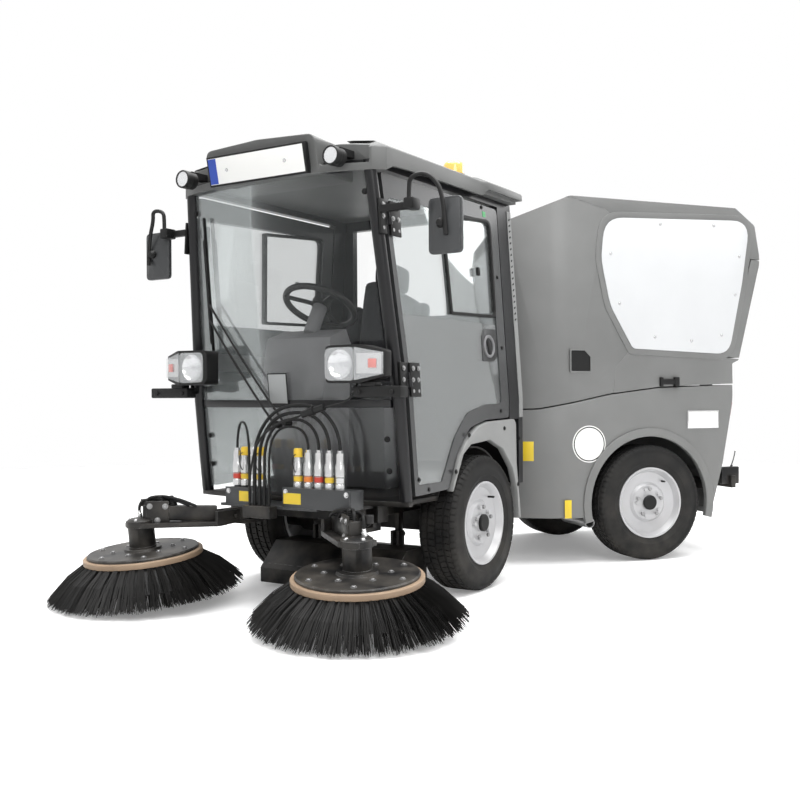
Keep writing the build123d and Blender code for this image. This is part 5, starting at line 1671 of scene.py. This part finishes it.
# couplers: bright sleeves over the block's pins, coloured rings and caps
couplers = {
    "x": 1.795,
    "rows": ((-0.190, "sleeveRed", True), (-0.145, "sleeveYellow", False), (-0.100, "steelBright", False),
             (-0.055, "sleeveYellow", False), (0.150, "sleeveYellow", False), (0.205, "sleeveOrange", True),
             (0.260, "sleeveRed", True), (0.315, "sleeveYellow", True), (0.370, "steelBright", True)),
    # radius and height over the ground
    "sleeve": ((0.0152, 0.528), (0.0205, 0.528), (0.0205, 0.552), (0.0170, 0.556), (0.0170, 0.580),
               (0.0210, 0.584), (0.0210, 0.624), (0.0190, 0.628), (0.0190, 0.634), (0.0165, 0.640),
               (0.0165, 0.6805), (0.0, 0.6805)),
    "ring": ((0.0172, 0.557), (0.0196, 0.558), (0.0196, 0.578), (0.0172, 0.579)),
    "nut": ((0.0165, 0.668), (0.0150, 0.676), (0.0115, 0.682), (0.0115, 0.692), (0, 0.692)),
    "cap": ((0.0185, 0.660), (0.0190, 0.664), (0.0190, 0.690), (0.0150, 0.697), (0, 0.698)),
    "strapTop": (0.019, 0, 0.672),
    "strap": ((0, 0, 0), (0.022, 0.004, -0.004), (0.026, 0.006, -0.05), (0.004, 0.002, -0.075)),
    "coverX": 1.841,
    "covers": ((-0.218, -0.032, 0.446, 0.523), (0.102, 0.452, 0.446, 0.533)),
    "labels": ((-0.105, 0.485, 0.066, 0.044), (0.155, 0.487, 0.092, 0.046)),
    "clamp": ((1.866, -0.004, 0.426), (0.052, 0.150, 0.052)),
}


def couplerPieces():
    s = couplers
    parts = []
    for y, colour, hosed in s["rows"]:
        foot = frontPoint(s["x"], y, 0.0)
        parts.append(turnedAt(foot, s["sleeve"], "steelBright", (0, 0, 1), 28))
        parts.append(turnedAt(foot, s["ring"], colour, (0, 0, 1), 28))
        if hosed:
            parts.append(turnedAt(foot, s["nut"], "steelBright", (0, 0, 1), 6))
            continue
        parts.append(turnedAt(foot, s["cap"], colour, (0, 0, 1), 28))
        top = foot + Vector(s["strapTop"])
        parts.append(tubeAlong([top + Vector(spot) for spot in s["strap"]], 0.004, "rubberBlack"))
    for lowY, highY, lowZ, highZ in s["covers"]:
        parts.append(blockAt(frontPoint(s["coverX"], (lowY + highY) / 2, (lowZ + highZ) / 2),
                             (0.006, highY - lowY, highZ - lowZ), "valveGrey", bevel=0.002))
        for y in (lowY + 0.018, highY - 0.018):
            spot = frontPoint(s["coverX"] + 0.003, y, highZ - 0.018)
            parts.append(boltAt(spot, (1, 0, 0), 0.008, "steelBright"))
    for y, z, wide, tall in s["labels"]:
        parts.append(blockAt(frontPoint(s["coverX"] + 0.0036, y, z), (wide, tall, 0.0012), "labelYellow",
                             (1, 0, 0), 0, 0.0))
    place, size = s["clamp"]
    parts.append(blockAt(frontPoint(*place), size, "frameBlack", bevel=0.004))
    joined(parts, "valveTrim", "front_unit")


couplerPieces()
print("couplers made")


# hoses: from the couplers over and down into the clamp; the lamp's cable beside them
hoses = {
    "clampX": 1.868,
    "couplerTop": 0.692,
    "clampTop": 0.452,
    # start y, clamp y, diameter, first rise, height of the bend, droop across it
    "rows": ((0.370, -0.030, 0.015, 0.080, 0.196, 0.014), (0.315, -0.002, 0.015, 0.074, 0.162, 0.010),
             (0.260, 0.025, 0.013, 0.062, 0.132, 0.008), (0.205, 0.050, 0.011, 0.050, 0.100, 0.005),
             (-0.190, -0.058, 0.011, 0.052, 0.118, 0.008)),
    "cable": ((1.800, 0.460, 0.972), (1.812, 0.450, 0.900), (1.880, 0.350, 0.872), (1.896, 0.220, 0.832),
              (1.902, 0.100, 0.795), (1.902, 0.010, 0.725), (1.896, -0.030, 0.600), (1.884, -0.044, 0.520),
              (1.884, -0.044, 0.452)),
    "cableDiameter": 0.009,
    # plug on the cable: ends, diameter, colour
    "plug": (((1.8795, 0.352, 0.874), (1.8925, 0.250, 0.843), 0.030, "trimBlack"),
             ((1.8855, 0.305, 0.860), (1.8885, 0.280, 0.852), 0.038, "rubberBlack")),
}


def measured(points):
    # length of the smooth line through a route's points
    probe = lineThrough("probe", points, 24)
    bpy.context.view_layer.update()
    mesh = bpy.data.meshes.new_from_object(probe.evaluated_get(bpy.context.evaluated_depsgraph_get()))
    spots = [v.co.copy() for v in mesh.vertices]
    bpy.data.objects.remove(probe)
    return sum((b - a).length for a, b in zip(spots, spots[1:]))


def cordPiece(points, diameter, name, body):
    obj = lineThrough(name, points, 16)
    thicken(obj, diameter, 4)
    obj.data.materials.append(mats["rubberBlack"])
    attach(obj, body)
    measured(points)


for number, (startY, endY, diameter, rise, bend, droop) in enumerate(hoses["rows"], 1):
    top = hoses["couplerTop"]
    lowest = hoses["clampTop"]
    low = top + rise - 0.030
    spots = ((0, top), (0, top + rise), (0.26, top + bend), (0.74, top + bend - droop), (0.985, low),
             (1, (low + lowest) / 2), (1, lowest))
    points = [frontPoint(couplers["x"] + share * (hoses["clampX"] - couplers["x"]),
                         startY + share * (endY - startY), z) for share, z in spots]
    cordPiece(points, diameter, f"hose_{number}", "front_unit")
cordPiece([frontPoint(*spot) for spot in hoses["cable"]], hoses["cableDiameter"], "lampCable", "front_unit")
plug = [tubeAlong([frontPoint(*start), frontPoint(*end)], diameter, material)
        for start, end, diameter, material in hoses["plug"]]
joined(plug, "cablePlug", "front_unit")
print("hoses made")


# wheels: black hub caps, valve stems and nuts
hub = {
    "capFace": 0.0885,
    "cap": ((0.0385, -0.022), (0.0405, -0.018), (0.0405, -0.002), (0.036, 0.003), (0.012, 0.004), (0, 0.004)),
    "stemFace": 0.062,
    "stemRadius": 0.145,
    "stemTurn": 0.9,
    "stem": ((0.005, -0.004), (0.005, 0.026), (0.0035, 0.030), (0, 0.030)),
    "nuts": 5,
    "nutFace": 0.0792,
    "nutRadius": 0.075,
    "nutTurn": 0.3,
}


def hubPieces(centre, outward):
    s = hub
    level = turnTo(outward).to_3x3()

    def spotAt(face, radius, turn):
        return centre + outward * face + level @ Vector((radius * math.cos(turn), radius * math.sin(turn), 0))

    stem = spotAt(s["stemFace"], s["stemRadius"], s["stemTurn"])
    parts = [turnedAt(centre + outward * s["capFace"], s["cap"], "rubberBlack", outward, 40),
             turnedAt(stem, s["stem"], "rubberBlack", outward, 12)]
    for number in range(s["nuts"]):
        turn = 2 * math.pi * number / s["nuts"] + s["nutTurn"]
        spot = spotAt(s["nutFace"], s["nutRadius"], turn)
        parts.append(boltAt(spot, outward, 0.0105, "steelDull", False, 0.009))
    return parts


for unit, (along, place, axle) in wheels.items():
    for side, word in ((1, "left"), (-1, "right")):
        parts = hubPieces(place(along, side * halfTrack, axleHeight), side * axle)
        joined(parts, f"wheelTrim_{unit}_{word}", f"wheel_{unit}_{word}")

# bright levers behind the rear bumper, with their blocks
levers = {
    "aside": 0.440,
    "route": ((-1.458, 0, 0.400), (-1.470, 0, 0.470), (-1.482, 0.03, 0.520), (-1.480, 0.05, 0.585)),
    "rod": 0.014,
    "block": (-1.455, 0.02, 0.44),
    "blockSize": (0.030, 0.10, 0.12),
}
parts = []
for side in (1, -1):
    route = [rearPoint(x, side * (levers["aside"] + y), z) for x, y, z in levers["route"]]
    parts.append(tubeAlong(route, levers["rod"], "steelBright"))
    x, y, z = levers["block"]
    parts.append(blockAt(rearPoint(x, side * (levers["aside"] + y), z), levers["blockSize"], "frameBlack",
                         rearTurn.to_3x3() @ Vector((1, 0, 0)), 0, 0.006))
joined(parts, "rearLevers", "rear_unit")


# seat: its cushions are soft blocks
seat = {
    "aside": -0.090,
    # name, place, size, backward lean, round
    "cushions": (("seatCushion", (0.985, 0, 0.938), (0.46, 0.44, 0.112), 0.03, 0.045),
                 ("seatBack", (0.705, 0, 1.215), (0.46, 0.115, 0.54), -0.17, 0.045),
                 ("headrest", (0.672, 0, 1.545), (0.270, 0.080, 0.150), -0.12, 0.034),
                 ("seatBolster_left", (0.745, 0.205, 1.19), (0.075, 0.10, 0.42), -0.17, 0.034),
                 ("seatBolster_right", (0.745, -0.205, 1.19), (0.075, 0.10, 0.42), -0.17, 0.034)),
    "softness": 0.8,
}
for name, (x, y, z), size, lean, edge in seat["cushions"]:
    obj = blockAt(frontPoint(x, seat["aside"] + y, z), size, "seatCloth", (math.sin(lean), 0, math.cos(lean)),
                  math.pi / 2, edge)
    soft = obj.modifiers.new("soft", "SUBSURF")
    soft.levels = 1
    applyAll(obj)
    finishPiece(obj, name, "front_unit", 60)
    if name == "seatCushion":
        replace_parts(obj, "seat")
print("wheel trim, levers and seat made")
